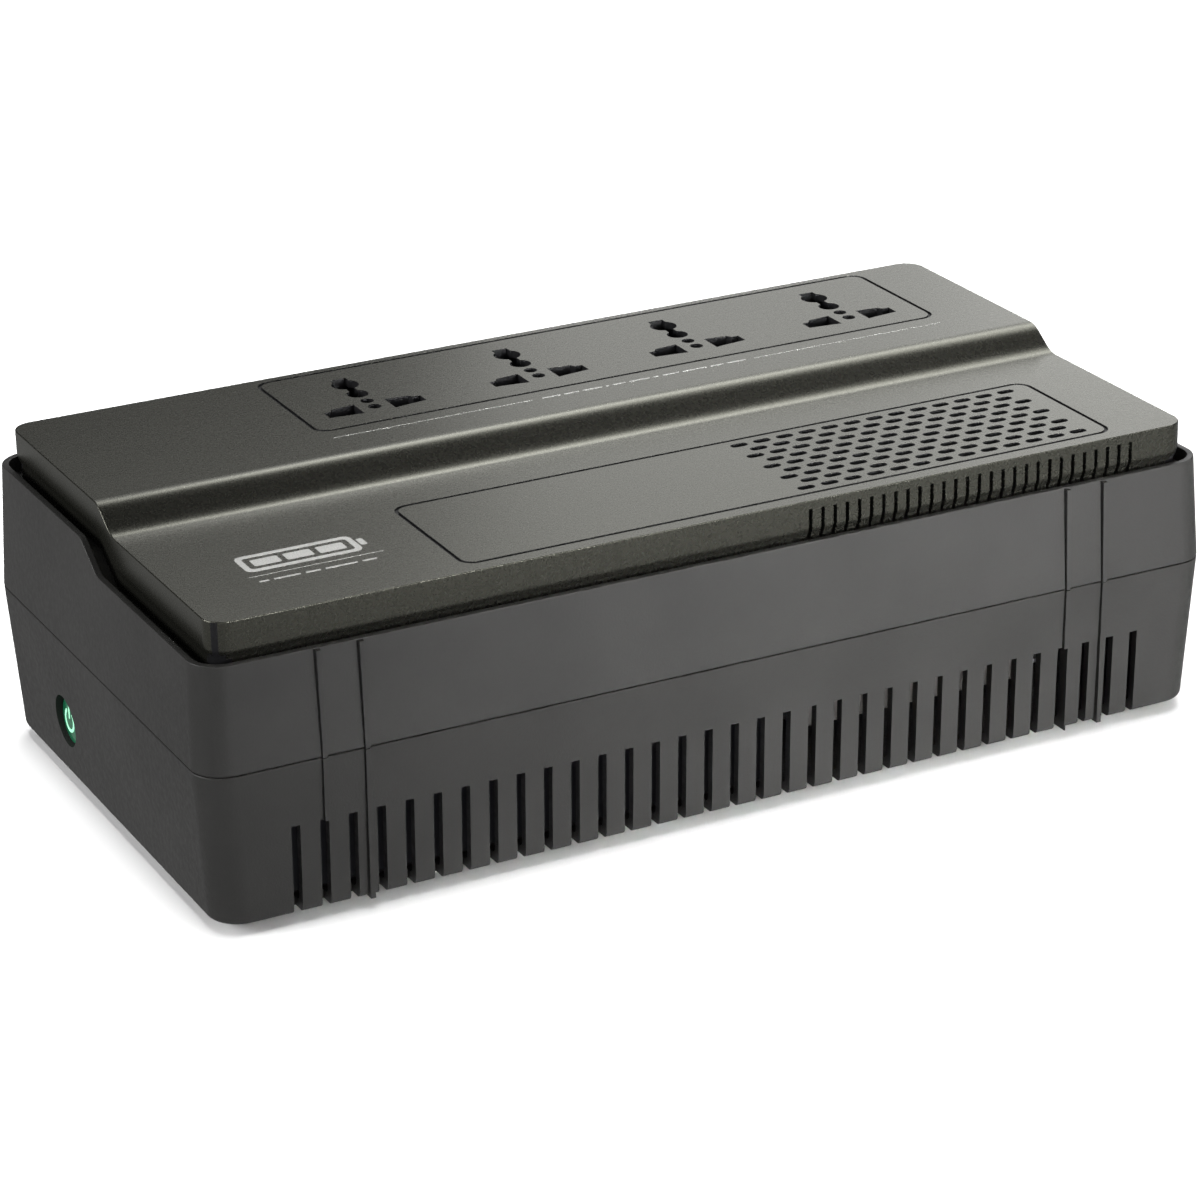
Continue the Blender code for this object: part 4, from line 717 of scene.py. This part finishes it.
# ---- cover -----------------------------------------------
def pin_slot(x, side):
    """Outline of a universal live or neutral slot; side is -1 or 1."""
    right = ((0.0047, -0.0035), (0.0068, -0.0031), (0.0148, -0.0022), (0.0148, 0.0022), (0.0127, 0.0023),
             (0.0117, 0.0038), (0.0047, 0.0046))
    return [(x + side * px, PIN_LINE_Y + py) for px, py in right][::side]


def earth_slot(x):
    big, small, neck, slot = 0.00395, 0.0031, 0.0013, 0.0024
    centre, low_centre, top = EARTH_RISE - 0.0012, EARTH_RISE - 0.0100, EARTH_RISE + 0.0042
    first, last, steps = math.acos(slot / big), -math.acos(neck / big), 14
    arc = [first + (last - first) * i / steps for i in range(steps + 1)]
    right = [(slot, top), *((big * math.cos(a), centre + big * math.sin(a)) for a in arc)]
    first = math.acos(neck / small)
    arc = [first - (first + math.pi / 2) * i / steps for i in range(steps)]
    right += [(small * math.cos(a), low_centre + small * math.sin(a)) for a in arc]
    outline = [*right, (0, low_centre - small), *((-a, b) for a, b in reversed(right))]
    return [(x + a, PIN_LINE_Y + b) for a, b in outline]


def cover_holes():
    """Outlines of everything cut through the two decks."""
    vents = []
    for row in range(VENT_ROWS):
        count = VENT_COLUMNS - row % 2
        y = VENT_MID_Y + VENT_PITCH_Y * (row - (VENT_ROWS - 1) / 2)
        for column in range(count):
            x = VENT_MID_X + VENT_PITCH_X * (column - (count - 1) / 2)
            vents.append(stadium(x, y, VENT_LENGTH, VENT_HEIGHT))
    outlets = []
    for x in OUTLET_XS:
        outlets += [pin_slot(x, -1), pin_slot(x, 1), earth_slot(x)]
        outlets += [circle(x, PIN_LINE_Y + y, SMALL_HOLE_RADIUS, 20) for y in SMALL_HOLE_YS]
    return vents, outlets


def cut_groove(cover, ys, top_z):
    (left, right), (front, back) = PANEL_XS, ys
    outer, inner = [
        rounded_rectangle((left - grow, right + grow), (front - grow, back + grow), PANEL_RADIUS + grow, 8)
        for grow in (GROOVE_WIDTH / 2, -GROOVE_WIDTH / 2)
    ]
    ring = prisms("groove", [outer], "Z", top_z - GROOVE_DEPTH, top_z + CUT_PAST / 2)
    combine(ring, prisms("groove_core", [inner], "Z", *about(top_z, CUT_PAST)), "DIFFERENCE")
    combine(cover, ring, "DIFFERENCE")


def cut_slits(cover):
    """A row of upright slits through the cover's front wall."""
    front_y = -COVER_WIDTH / 2
    slits = []
    for i in range(SLIT_COUNT):
        x = SLIT_MID_X + SLIT_PITCH * (i - (SLIT_COUNT - 1) / 2)
        slits.append((about(x, SLIT_WIDTH / 2), (front_y - CUT_PAST, front_y + SLIT_DEPTH),
                      (RIM_FRONT_Z - CUT_PAST, SLIT_TOP_Z)))
    combine(cover, boxes("slits", slits), "DIFFERENCE")


def make_cover():
    base = GUTTER_DEPTH - COVER_GAP
    path = [at_deck(COVER_WALL, COVER_WALL), at_rim(COVER_WALL, base), at_rim(SKIRT[0][0], base)]
    path += [at_rim(inset, down) for inset, down in SKIRT]
    path += [at_deck(inset, down) for inset, down in quarter(DECK_EDGE, 5)]
    cover = loft("cover_shell", [cover_ring(inset, height) for inset, height in path], True)
    vents, outlets = cover_holes()
    for name, outlines, deck in (("vents", vents, DECK_LOW_Z), ("outlets", outlets, DECK_HIGH_Z)):
        combine(cover, prisms(name, outlines, "Z", deck - HOLE_DEPTH, deck + CUT_PAST), "DIFFERENCE")
    cut_slits(cover)
    cut_groove(cover, PANEL_HIGH_YS, DECK_HIGH_Z)
    cut_groove(cover, PANEL_LOW_YS, DECK_LOW_Z)
    soften(cover, COVER_SOFTENING, COVER_SHARP_ANGLE)
    finish_piece(cover, FINISHES["cover_plastic"], "case", "top_cover")
    # painted shade: the grooves, hole walls and inside of the cover are made black
    paint_hole_shade(cover)


def paint_hole_shade(cover):
    """Painted shade: the grooves, the walls of every hole, and the inside that shows through them, are made
    black so that they read as shaded.
    """
    # the black plastic finish stands in here for the shade in the holes and grooves
    cover.data.materials.append(FINISHES["black_plastic"].material)
    for face in cover.data.polygons:
        x, y, z = face.center
        within = abs(x) < COVER_LENGTH / 2 - HOLE_SHADE_START and abs(y) < COVER_WIDTH / 2 - HOLE_SHADE_START
        if within and z < deck_z(y) - HOLE_SHADE_DROP:
            face.material_index = 1


# ---- printing: plain marks, not lettering ----------------
MARK_LEFT, MARK_FRONT, MARK_LENGTH, MARK_HEIGHT = -0.1248, -0.0464, 0.0352, 0.0112
LOWER_RULE = (-0.1260, -0.0880, -0.0494)  # start, end and y
UPPER_RULES = ((-0.0720, -0.0110, 0.0190), (0.0600, 0.1230, 0.0190))
RULE_HALF, DASH_RADIUS = 0.00009, 0.0002
# Bars in place of lettering: start, y, half height, lengths and gap
LOWER_DASHES = (-0.1245, -0.0533, 0.0004, (0.0026, 0.0074, 0.0042, 0.0090, 0.0040), 0.0014)
UPPER_DASHES = (-0.0080, 0.0190, 0.0003, (0.0058, 0.0046, 0.0062, 0.0010, 0.0040, 0.0066, 0.0018, 0.0052,
                                          0.0078, 0.0044, 0.0060), 0.0012)


def dashes(start, y, half_height, lengths, gap):
    """A row of short bars."""
    bars = []
    for length in lengths:
        bars.append(rounded_rectangle((start, start + length), about(y, half_height), DASH_RADIUS, 2))
        start += length + gap
    return bars


def rule(start, end, y):
    return rounded_rectangle((start, end), about(y, RULE_HALF), RULE_HALF * 0.9, 2)


def battery_mark():
    """Outlines of a charged battery's pictogram: its case, the hollow in it, and its pole and bars."""
    wall, room, pole, pole_gap, pole_half, bars, bar_gap = 0.0017, 0.0034, 0.0024, 0.0006, 0.0022, 3, 0.0016
    case_round, hollow_round, pole_round, bar_round = 0.0022, 0.0011, 0.0006, 0.0005
    right, back = MARK_LEFT + MARK_LENGTH, MARK_FRONT + MARK_HEIGHT
    end = right - pole
    case = rounded_rectangle((MARK_LEFT, end), (MARK_FRONT, back), case_round, 5)
    hollow_xs, hollow_ys = (MARK_LEFT + wall, end - wall), (MARK_FRONT + wall, back - wall)
    hollow = rounded_rectangle(hollow_xs, hollow_ys, hollow_round, 5)
    pole_ys = about(MARK_FRONT + MARK_HEIGHT / 2, pole_half)
    solids = [rounded_rectangle((end + pole_gap, right), pole_ys, pole_round)]
    pitch = (end - MARK_LEFT - 2 * room + bar_gap) / bars
    for i in range(bars):
        start = MARK_LEFT + room + i * pitch
        ends = (start, start + pitch - bar_gap)
        solids.append(rounded_rectangle(ends, (MARK_FRONT + room, back - room), bar_round))
    return case, hollow, solids


def make_printing():
    """Silver marks: a battery pictogram over a rule and dashes, and rules and dashes beside the outlets."""
    low, high = about(DECK_LOW_Z, PRINT_THICKNESS), about(DECK_HIGH_Z, PRINT_THICKNESS)
    case, hollow, lower = battery_mark()
    frame_mark = prisms("battery_mark", [case], "Z", *low)
    cutter = prisms("hollow", [hollow], "Z", low[0] - CUT_PAST / 2, low[1] + CUT_PAST / 2)
    combine(frame_mark, cutter, "DIFFERENCE")
    lower.append(rule(*LOWER_RULE))
    lower += dashes(*LOWER_DASHES)
    upper = [rule(*place) for place in UPPER_RULES]
    upper += dashes(*UPPER_DASHES)
    marks = [frame_mark, prisms("lower_marks", lower, "Z", *low), prisms("upper_marks", upper, "Z", *high)]
    for mark in marks:
        finish_piece(mark, SILVER_INK, "case")


# ---- power button ----------------------------------------
# Places along the button are measured outwards from the middle of the case
CAP_FACE_X, CAP_FLANGE_X, CAP_BACK_X, CAP_STEM_X = -BUTTON_BOX[0][0], 0.1474, 0.1463, 0.1412
CAP_ROUND, CAP_CROWN, CROWN_STEPS = 0.0007, 0.0005, 6
CAP_FLANGE_RADIUS, CAP_STEM_RADIUS = 0.0084, 0.0020


def make_button():
    """A crowned cap with a flange that keeps it in the case, and a stem that meets the switch."""
    flat, edge = BUTTON_RADIUS - CAP_ROUND, reversed(quarter(CAP_ROUND, 5))
    profile = [(flat * i / CROWN_STEPS, CAP_FACE_X + CAP_CROWN * (1 - (i / CROWN_STEPS) ** 2))
               for i in range(CROWN_STEPS)]
    profile += [(BUTTON_RADIUS - inset, CAP_FACE_X - down) for inset, down in edge]
    profile += [(BUTTON_RADIUS, CAP_FLANGE_X), (CAP_FLANGE_RADIUS, CAP_FLANGE_X)]
    profile += [(CAP_FLANGE_RADIUS, CAP_BACK_X), (CAP_STEM_RADIUS, CAP_BACK_X)]
    profile += [(CAP_STEM_RADIUS, CAP_STEM_X), (0, CAP_STEM_X)]
    cap = lathe("power_button_cap", profile, (0, BUTTON_Y, BUTTON_Z), (-1, 0, 0), 96)
    finish_piece(cap, FINISHES["green_lens"], "power_button", "power_button")
    make_power_mark()


def make_power_mark():
    """A ring open at the top with an upright stroke in it."""
    radius, half, gap, steps = 0.0031, 0.00045, math.radians(38), 40
    stroke_low, stroke_high = 0.0004, 0.0042
    turns = [math.pi / 2 + gap + (2 * math.pi - 2 * gap) * i / steps for i in range(steps + 1)]
    ring = arc(BUTTON_Y, BUTTON_Z, radius + half, turns)
    ring += arc(BUTTON_Y, BUTTON_Z, radius - half, turns[::-1])
    stroke_zs = (BUTTON_Z + stroke_low, BUTTON_Z + stroke_high)
    stroke = rounded_rectangle(about(BUTTON_Y, half), stroke_zs, half * 0.9)
    mark = prisms("power_mark", [ring, stroke], "X", -CAP_FACE_X - CAP_CROWN, -CAP_FACE_X)
    finish_piece(mark, LIT_MARK, "power_button")


# ---- mains panel -----------------------------------------
INLET_HOLE, INLET_FLANGE, INLET_BODY = (0.0138, 0.0100), (0.0155, 0.0118), (0.0134, 0.0096)  # half sizes
BODY_ROUND, FLANGE_ROUND, FLANGE_GAP = 0.0010, 0.0022, 0.0003
MOUTH_WIDTH, MOUTH_HEIGHT, MOUTH_DEPTH, MOUTH_CHAMFER = 0.0242, 0.0162, 0.0165, 0.0045
PIN_NODES, PIN_ROOM, PIN_ROUND = ("inlet_pin_live", "inlet_pin_neutral", "inlet_pin_earth"), 0.0003, 0.00035
NUT_RADIUS, NUT_BORE = 0.0072, 0.0050
# Reset button: (radius, drop from its top) across the face, then (radius, height) round the back
RESET_FACE = ((0, 0), (0.0012, 0.00006), (0.0022, 0.0003), (0.0029, 0.0008), (0.0032, 0.0016))
RESET_BACK = ((0.0032, 0.0003), (0.0029, 0), (0, 0))
INLET_SOFTENING, NUT_SOFTENING, BREAKER_ROUND = 0.0004, 0.0003, 0.0004


def inlet_outline(half_size, radius):
    return rounded_rectangle(about(INLET_Y, half_size[0]), about(INLET_Z, half_size[1]), radius)


def make_inlet():
    back_x, mouth_x, overlap = INLET_BOX[0][0], FLANGE_X - MOUTH_DEPTH, 0.001
    flange = inlet_outline(INLET_FLANGE, FLANGE_ROUND)
    inlet = prisms("mains_inlet", [flange], "X", PANEL_X + FLANGE_GAP, FLANGE_X)
    body = inlet_outline(INLET_BODY, BODY_ROUND)
    combine(inlet, prisms("inlet_body", [body], "X", back_x, PANEL_X + overlap), "UNION")
    (left, right), (low, high) = about(INLET_Y, MOUTH_WIDTH / 2), about(INLET_Z, MOUTH_HEIGHT / 2)
    mouth = [(left, low), (right, low), (right, high - MOUTH_CHAMFER), (right - MOUTH_CHAMFER, high),
             (left + MOUTH_CHAMFER, high), (left, high - MOUTH_CHAMFER)]
    combine(inlet, prisms("mouth", [mouth], "X", mouth_x, FLANGE_X + CUT_PAST), "DIFFERENCE")
    slots = []
    for name in PIN_NODES:
        ys, zs = list(zip(*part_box(name)))[1:]
        slots.append(((back_x - overlap, mouth_x + overlap), (ys[0] - PIN_ROOM, ys[1] + PIN_ROOM),
                      (zs[0] - PIN_ROOM, zs[1] + PIN_ROOM)))
    combine(inlet, boxes("pin_slots", slots), "DIFFERENCE")
    soften(inlet, INLET_SOFTENING, SHARP_ANGLE, 3)
    finish_piece(inlet, FINISHES["black_plastic"], "case", "ac_inlet")
    for name in PIN_NODES:
        add_edge_round(NODES[name], PIN_ROUND)


def add_edge_round(node, width):
    """Rounds a CAD node's edges as it is drawn; its mesh stays as it is."""
    modifier = node.modifiers.new("edge_round", "BEVEL")
    modifier.width = width
    modifier.segments = 2
    modifier.limit_method = "ANGLE"
    modifier.angle_limit = math.radians(SHARP_ANGLE)


def make_breaker():
    """The nut that holds the breaker in the panel, and its reset button."""
    back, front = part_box("breaker_nut")
    hexagon = arc(BREAKER_Y, INLET_Z, NUT_RADIUS, [math.pi * i / 3 for i in range(6)])
    nut = prisms("panel_nut", [hexagon], "X", back[0], front[0])
    bore_xs = (back[0] - CUT_PAST / 2, front[0] + CUT_PAST / 2)
    combine(nut, prisms("nut_bore", [circle(BREAKER_Y, INLET_Z, NUT_BORE)], "X", *bore_xs), "DIFFERENCE")
    soften(nut, NUT_SOFTENING, SHARP_ANGLE)
    finish_piece(nut, FINISHES["zinc_steel"], "case", "breaker_nut")
    low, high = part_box("breaker_button")
    length = high[0] - low[0]
    profile = [(radius, length - drop) for radius, drop in RESET_FACE] + list(RESET_BACK)
    button = lathe("reset_button", profile, (low[0], BREAKER_Y, INLET_Z), (1, 0, 0))
    finish_piece(button, FINISHES["black_plastic"], "breaker_button", "breaker_button")
    add_edge_round(NODES["breaker_body"], BREAKER_ROUND)


# ---- pieces inside the case ------------------------------
EDGE_ROUNDS = {
    0.0008: ["battery"],
    0.0005: ["button_holder", "transformer_core"] + [f"socket_body_{i}" for i in range(1, 5)],
    0.0003: ["relay_1", "relay_2", "heatsink_1", "heatsink_2", "transformer_frame", "battery_strap",
             "main_board", "button_board", "tact_switch"],
    0.00015: ["live_bus", "neutral_bus", "earth_bus", "battery_terminal_positive",
              "battery_terminal_negative"],
}


def round_inner_edges():
    for width, names in EDGE_ROUNDS.items():
        for name in names:
            add_edge_round(NODES[name], width)


# ---- underside -------------------------------------------
FOOT_EDGE = 0.0009
FOOT_DISH = ((0.0042, 0.0), (0.0038, 0.0004), (0, 0.0005))  # radius and height of the hollow under a foot
# Screws: (radius, height over the seat), then the thread, and the cross recess by half sizes
SCREW_TIP = ((0, 0.0265), (0.0008, 0.0258))
SCREW_HEAD = ((0.0016, 0), (0.0032, 0), (0.0032, -0.0010), (0.0028, -0.0018), (0.0018, -0.0023),
              (0, -0.0024))
THREAD_START, THREAD_TURNS, THREAD_PITCH, THREAD_ROOT, THREAD_CREST = 0.0240, 20, 0.0011, 0.0013, 0.0016
CROSS_ARM, CROSS_SLIT, CROSS_DROPS, SCREW_GAP = 0.0015, 0.0003, (0.004, 0.0010), 0.0003


def make_feet_and_screws():
    foot_top = CASE_Z + FOOT_RECESS - FOOT_GAP
    foot = [(0, foot_top), (FOOT_RADIUS, foot_top)]
    foot += [(FOOT_RADIUS - inset, down) for inset, down in quarter(FOOT_EDGE, 5)]
    foot += FOOT_DISH
    for i, (x, y) in enumerate(CORNERS):
        pad = lathe(f"foot_pad_{i + 1}", foot, (x * FOOT_X, y * FOOT_Y, 0), (0, 0, 1))
        finish_piece(pad, FINISHES["rubber"], "case", f"rubber_foot_{i + 1}")
        make_screw(i + 1, x * BOSS_X, y * BOSS_Y)


def make_screw(number, x, y):
    """A pan-head screw with a cross recess, and a thread as close rings."""
    profile = list(SCREW_TIP)
    for k in range(THREAD_TURNS):
        z = THREAD_START - k * THREAD_PITCH
        profile += [(THREAD_ROOT, z), (THREAD_CREST, z - THREAD_PITCH / 2)]
    profile += SCREW_HEAD
    seat = SCREW_SEAT_Z - SCREW_GAP
    cross_zs = (seat - CROSS_DROPS[0], seat - CROSS_DROPS[1])
    screw = lathe(f"screw_{number}", profile, (x, y, seat), (0, 0, 1), 32)
    for half_x, half_y in ((CROSS_ARM, CROSS_SLIT), (CROSS_SLIT, CROSS_ARM)):
        combine(screw, boxes("recess", [(about(x, half_x), about(y, half_y), cross_zs)]), "DIFFERENCE")
    finish_piece(screw, FINISHES["zinc_steel"], "case", f"case_screw_{number}")


# ---- room, light and camera ------------------------------
FLOOR_SIZE, BOUNCE, CARD_DROP = 12.0, 0.3, 0.001
ROOM, GLOW = 0.02, 0.65  # strength of the room, and of the glow round its front
GLOW_SIDE, GLOW_START, GLOW_END = (-0.45, -0.89, 0.0), (-0.1, 0.4), (0.55, 0.85)
MIDDLE = (0.05, 0, 0.05)
FLOOR_PANEL = ("floor_panel", (0, 0, 3), (0, 0, 0), (1.2, 1.2), 118)
PANELS = (  # name, place, target, size and power
    ("top_back_panel", (1.1, 1.0, 1.75), MIDDLE, (1.4, 0.6), 11.5),
    ("upper_back_panel", (1.3, 1.6, 1.9), MIDDLE, (1.4, 0.6), 7.0),
    ("high_back_panel", (0.9, 1.4, 1.3), MIDDLE, (1.4, 0.8), 3.8),
    ("low_back_panel", (0.9, 1.1, 0.5), MIDDLE, (0.8, 0.4), 1.5),
    ("far_back_panel", (1.4, 1.3, 0.6), MIDDLE, (0.8, 0.4), 1.05),
    ("left_panel", (-1.3, 0.3, 0.6), (-0.1, 0, 0.05), (0.8, 0.4), 16.5),
    ("front_panel", (0.3, -0.8, 0.35), (0.1, 0, 0.05), (0.4, 0.4), 2.0),
    ("front_grid_panel", (0.2, -1.3, 0.25), (0.08, -0.08, 0.05), (0.3, 0.3), 0.72, 20),  # and spread
)
CAMERA_ANGLES = (-26.679, 22.644, -1.173)  # azimuth, elevation and roll, in degrees
CAMERA_PLACE, CAMERA_LENS = (-0.4756, -0.9452, 0.4746 + CASE_Z), 121.30


def make_floor():
    bm = bmesh.new()
    bmesh.ops.create_grid(bm, x_segments=2, y_segments=2, size=FLOOR_SIZE)
    floor = new_object("studio_floor", bm)
    floor.data.materials.append(studio_floor().material)
    floor.visible_diffuse = floor.visible_glossy = False  # the bounce card below stands in for it there
    return floor


def make_bounce_card(floor):
    """What the object mirrors of the table: an even grey, dimmer than the white that the camera sees."""
    card = bpy.data.objects.new("bounce_card", floor.data.copy())
    card.location.z = -CARD_DROP
    shader = Shader("bounce_card", (0.0, 0.0, 0.0), 1.0)
    shader.set("Emission Strength", BOUNCE)
    shader.link(shader.ramp(shader.noise(1.5), ((0.3, (0.97, 0.97, 0.97)), (0.7, (1.0, 1.0, 1.0)))),
                shader.principled.inputs["Emission Color"])
    card.data.materials[0] = shader.material
    bpy.context.scene.collection.objects.link(card)
    card.visible_camera = card.visible_shadow = False


def add_light(name, place, target, size, power, spread=180):
    """A soft panel; a small spread is a grid on it, so that its light falls off across the object."""
    light = bpy.data.lights.new(name, "AREA")
    light.shape = "RECTANGLE"
    light.size, light.size_y = size
    light.energy = power
    light.spread = math.radians(spread)
    obj = bpy.data.objects.new(name, light)
    obj.location = place
    obj.rotation_euler = (Vector(target) - Vector(place)).to_track_quat("-Z", "Y").to_euler()
    bpy.context.scene.collection.objects.link(obj)
    return obj


def light_floor(floor):
    """Light for the floor alone, which keeps it white up to the shadow that the object stands in."""
    panel = add_light(*FLOOR_PANEL)
    only_floor = bpy.data.collections.new("lit_by_floor_panel")
    only_floor.objects.link(floor)
    panel.light_linking.receiver_collection = only_floor


def make_world():
    """A nearly dark room with a glow low round its front, which the cover mirrors when seen from behind."""
    world = bpy.data.worlds.new("studio")
    world.use_nodes = True
    tree = world.node_tree
    background = tree.nodes["Background"]
    background.inputs["Color"].default_value = (1.0, 1.0, 1.0, 1.0)
    direction = tree.nodes.new("ShaderNodeTexCoord").outputs["Generated"]
    facing = world_node(tree, "ShaderNodeVectorMath", direction, GLOW_SIDE, operation="DOT_PRODUCT")
    height = world_node(tree, "ShaderNodeSeparateXYZ", direction)
    frontal = world_node(tree, "ShaderNodeMapRange", facing.outputs["Value"], *GLOW_START, 0.0, GLOW)
    low = world_node(tree, "ShaderNodeMapRange", height.outputs["Z"], *GLOW_END, 1.0, 0.0)
    strength = world_node(tree, "ShaderNodeMath", frontal.outputs["Result"], low.outputs["Result"], ROOM,
                          operation="MULTIPLY_ADD")
    camera_ray = tree.nodes.new("ShaderNodeLightPath").outputs["Is Camera Ray"]
    # The room looks white to the camera, though it gives little light
    seen = world_node(tree, "ShaderNodeMath", strength.outputs["Value"], camera_ray, operation="MAXIMUM")
    tree.links.new(seen.outputs["Value"], background.inputs["Strength"])
    bpy.context.scene.world = world


def world_node(tree, kind, *values, **settings):
    """A node whose inputs, in order, are linked to sockets or set to plain values."""
    node = tree.nodes.new(kind)
    for key, value in settings.items():
        setattr(node, key, value)
    for socket, value in zip(node.inputs, values):
        if isinstance(value, bpy.types.NodeSocket):
            tree.links.new(value, socket)
        else:
            socket.default_value = value
    return node


def make_light():
    bpy.context.scene.view_settings.view_transform = "Standard"
    for panel in PANELS:
        add_light(*panel)


def make_camera():
    """The view that the looks are judged from, worked out from the case's proportions."""
    azimuth, elevation, roll = (math.radians(a) for a in CAMERA_ANGLES)
    forward = Vector((-math.sin(azimuth) * math.cos(elevation), math.cos(azimuth) * math.cos(elevation),
                      -math.sin(elevation)))
    right = forward.cross(Vector((0, 0, 1))).normalized()
    up = right.cross(forward)
    turned_right = math.cos(roll) * right + math.sin(roll) * up
    turned_up = math.cos(roll) * up - math.sin(roll) * right
    camera = bpy.data.cameras.new("camera")
    camera.lens, camera.sensor_width = CAMERA_LENS, 36.0
    camera.clip_start, camera.clip_end = 0.01, 20.0
    obj = bpy.data.objects.new("camera", camera)
    matrix = Matrix((turned_right, turned_up, -forward)).transposed().to_4x4()
    matrix.translation = Vector(CAMERA_PLACE)
    obj.matrix_world = matrix
    bpy.context.scene.collection.objects.link(obj)
    bpy.context.scene.camera = obj


def build():
    make_camera()
    dress_frame()
    make_lower_case()
    make_upper_case()
    make_cover()
    make_printing()
    make_button()
    make_inlet()
    make_breaker()
    round_inner_edges()
    make_feet_and_screws()
    floor = make_floor()
    light_floor(floor)
    make_bounce_card(floor)
    make_world()
    make_light()


build()
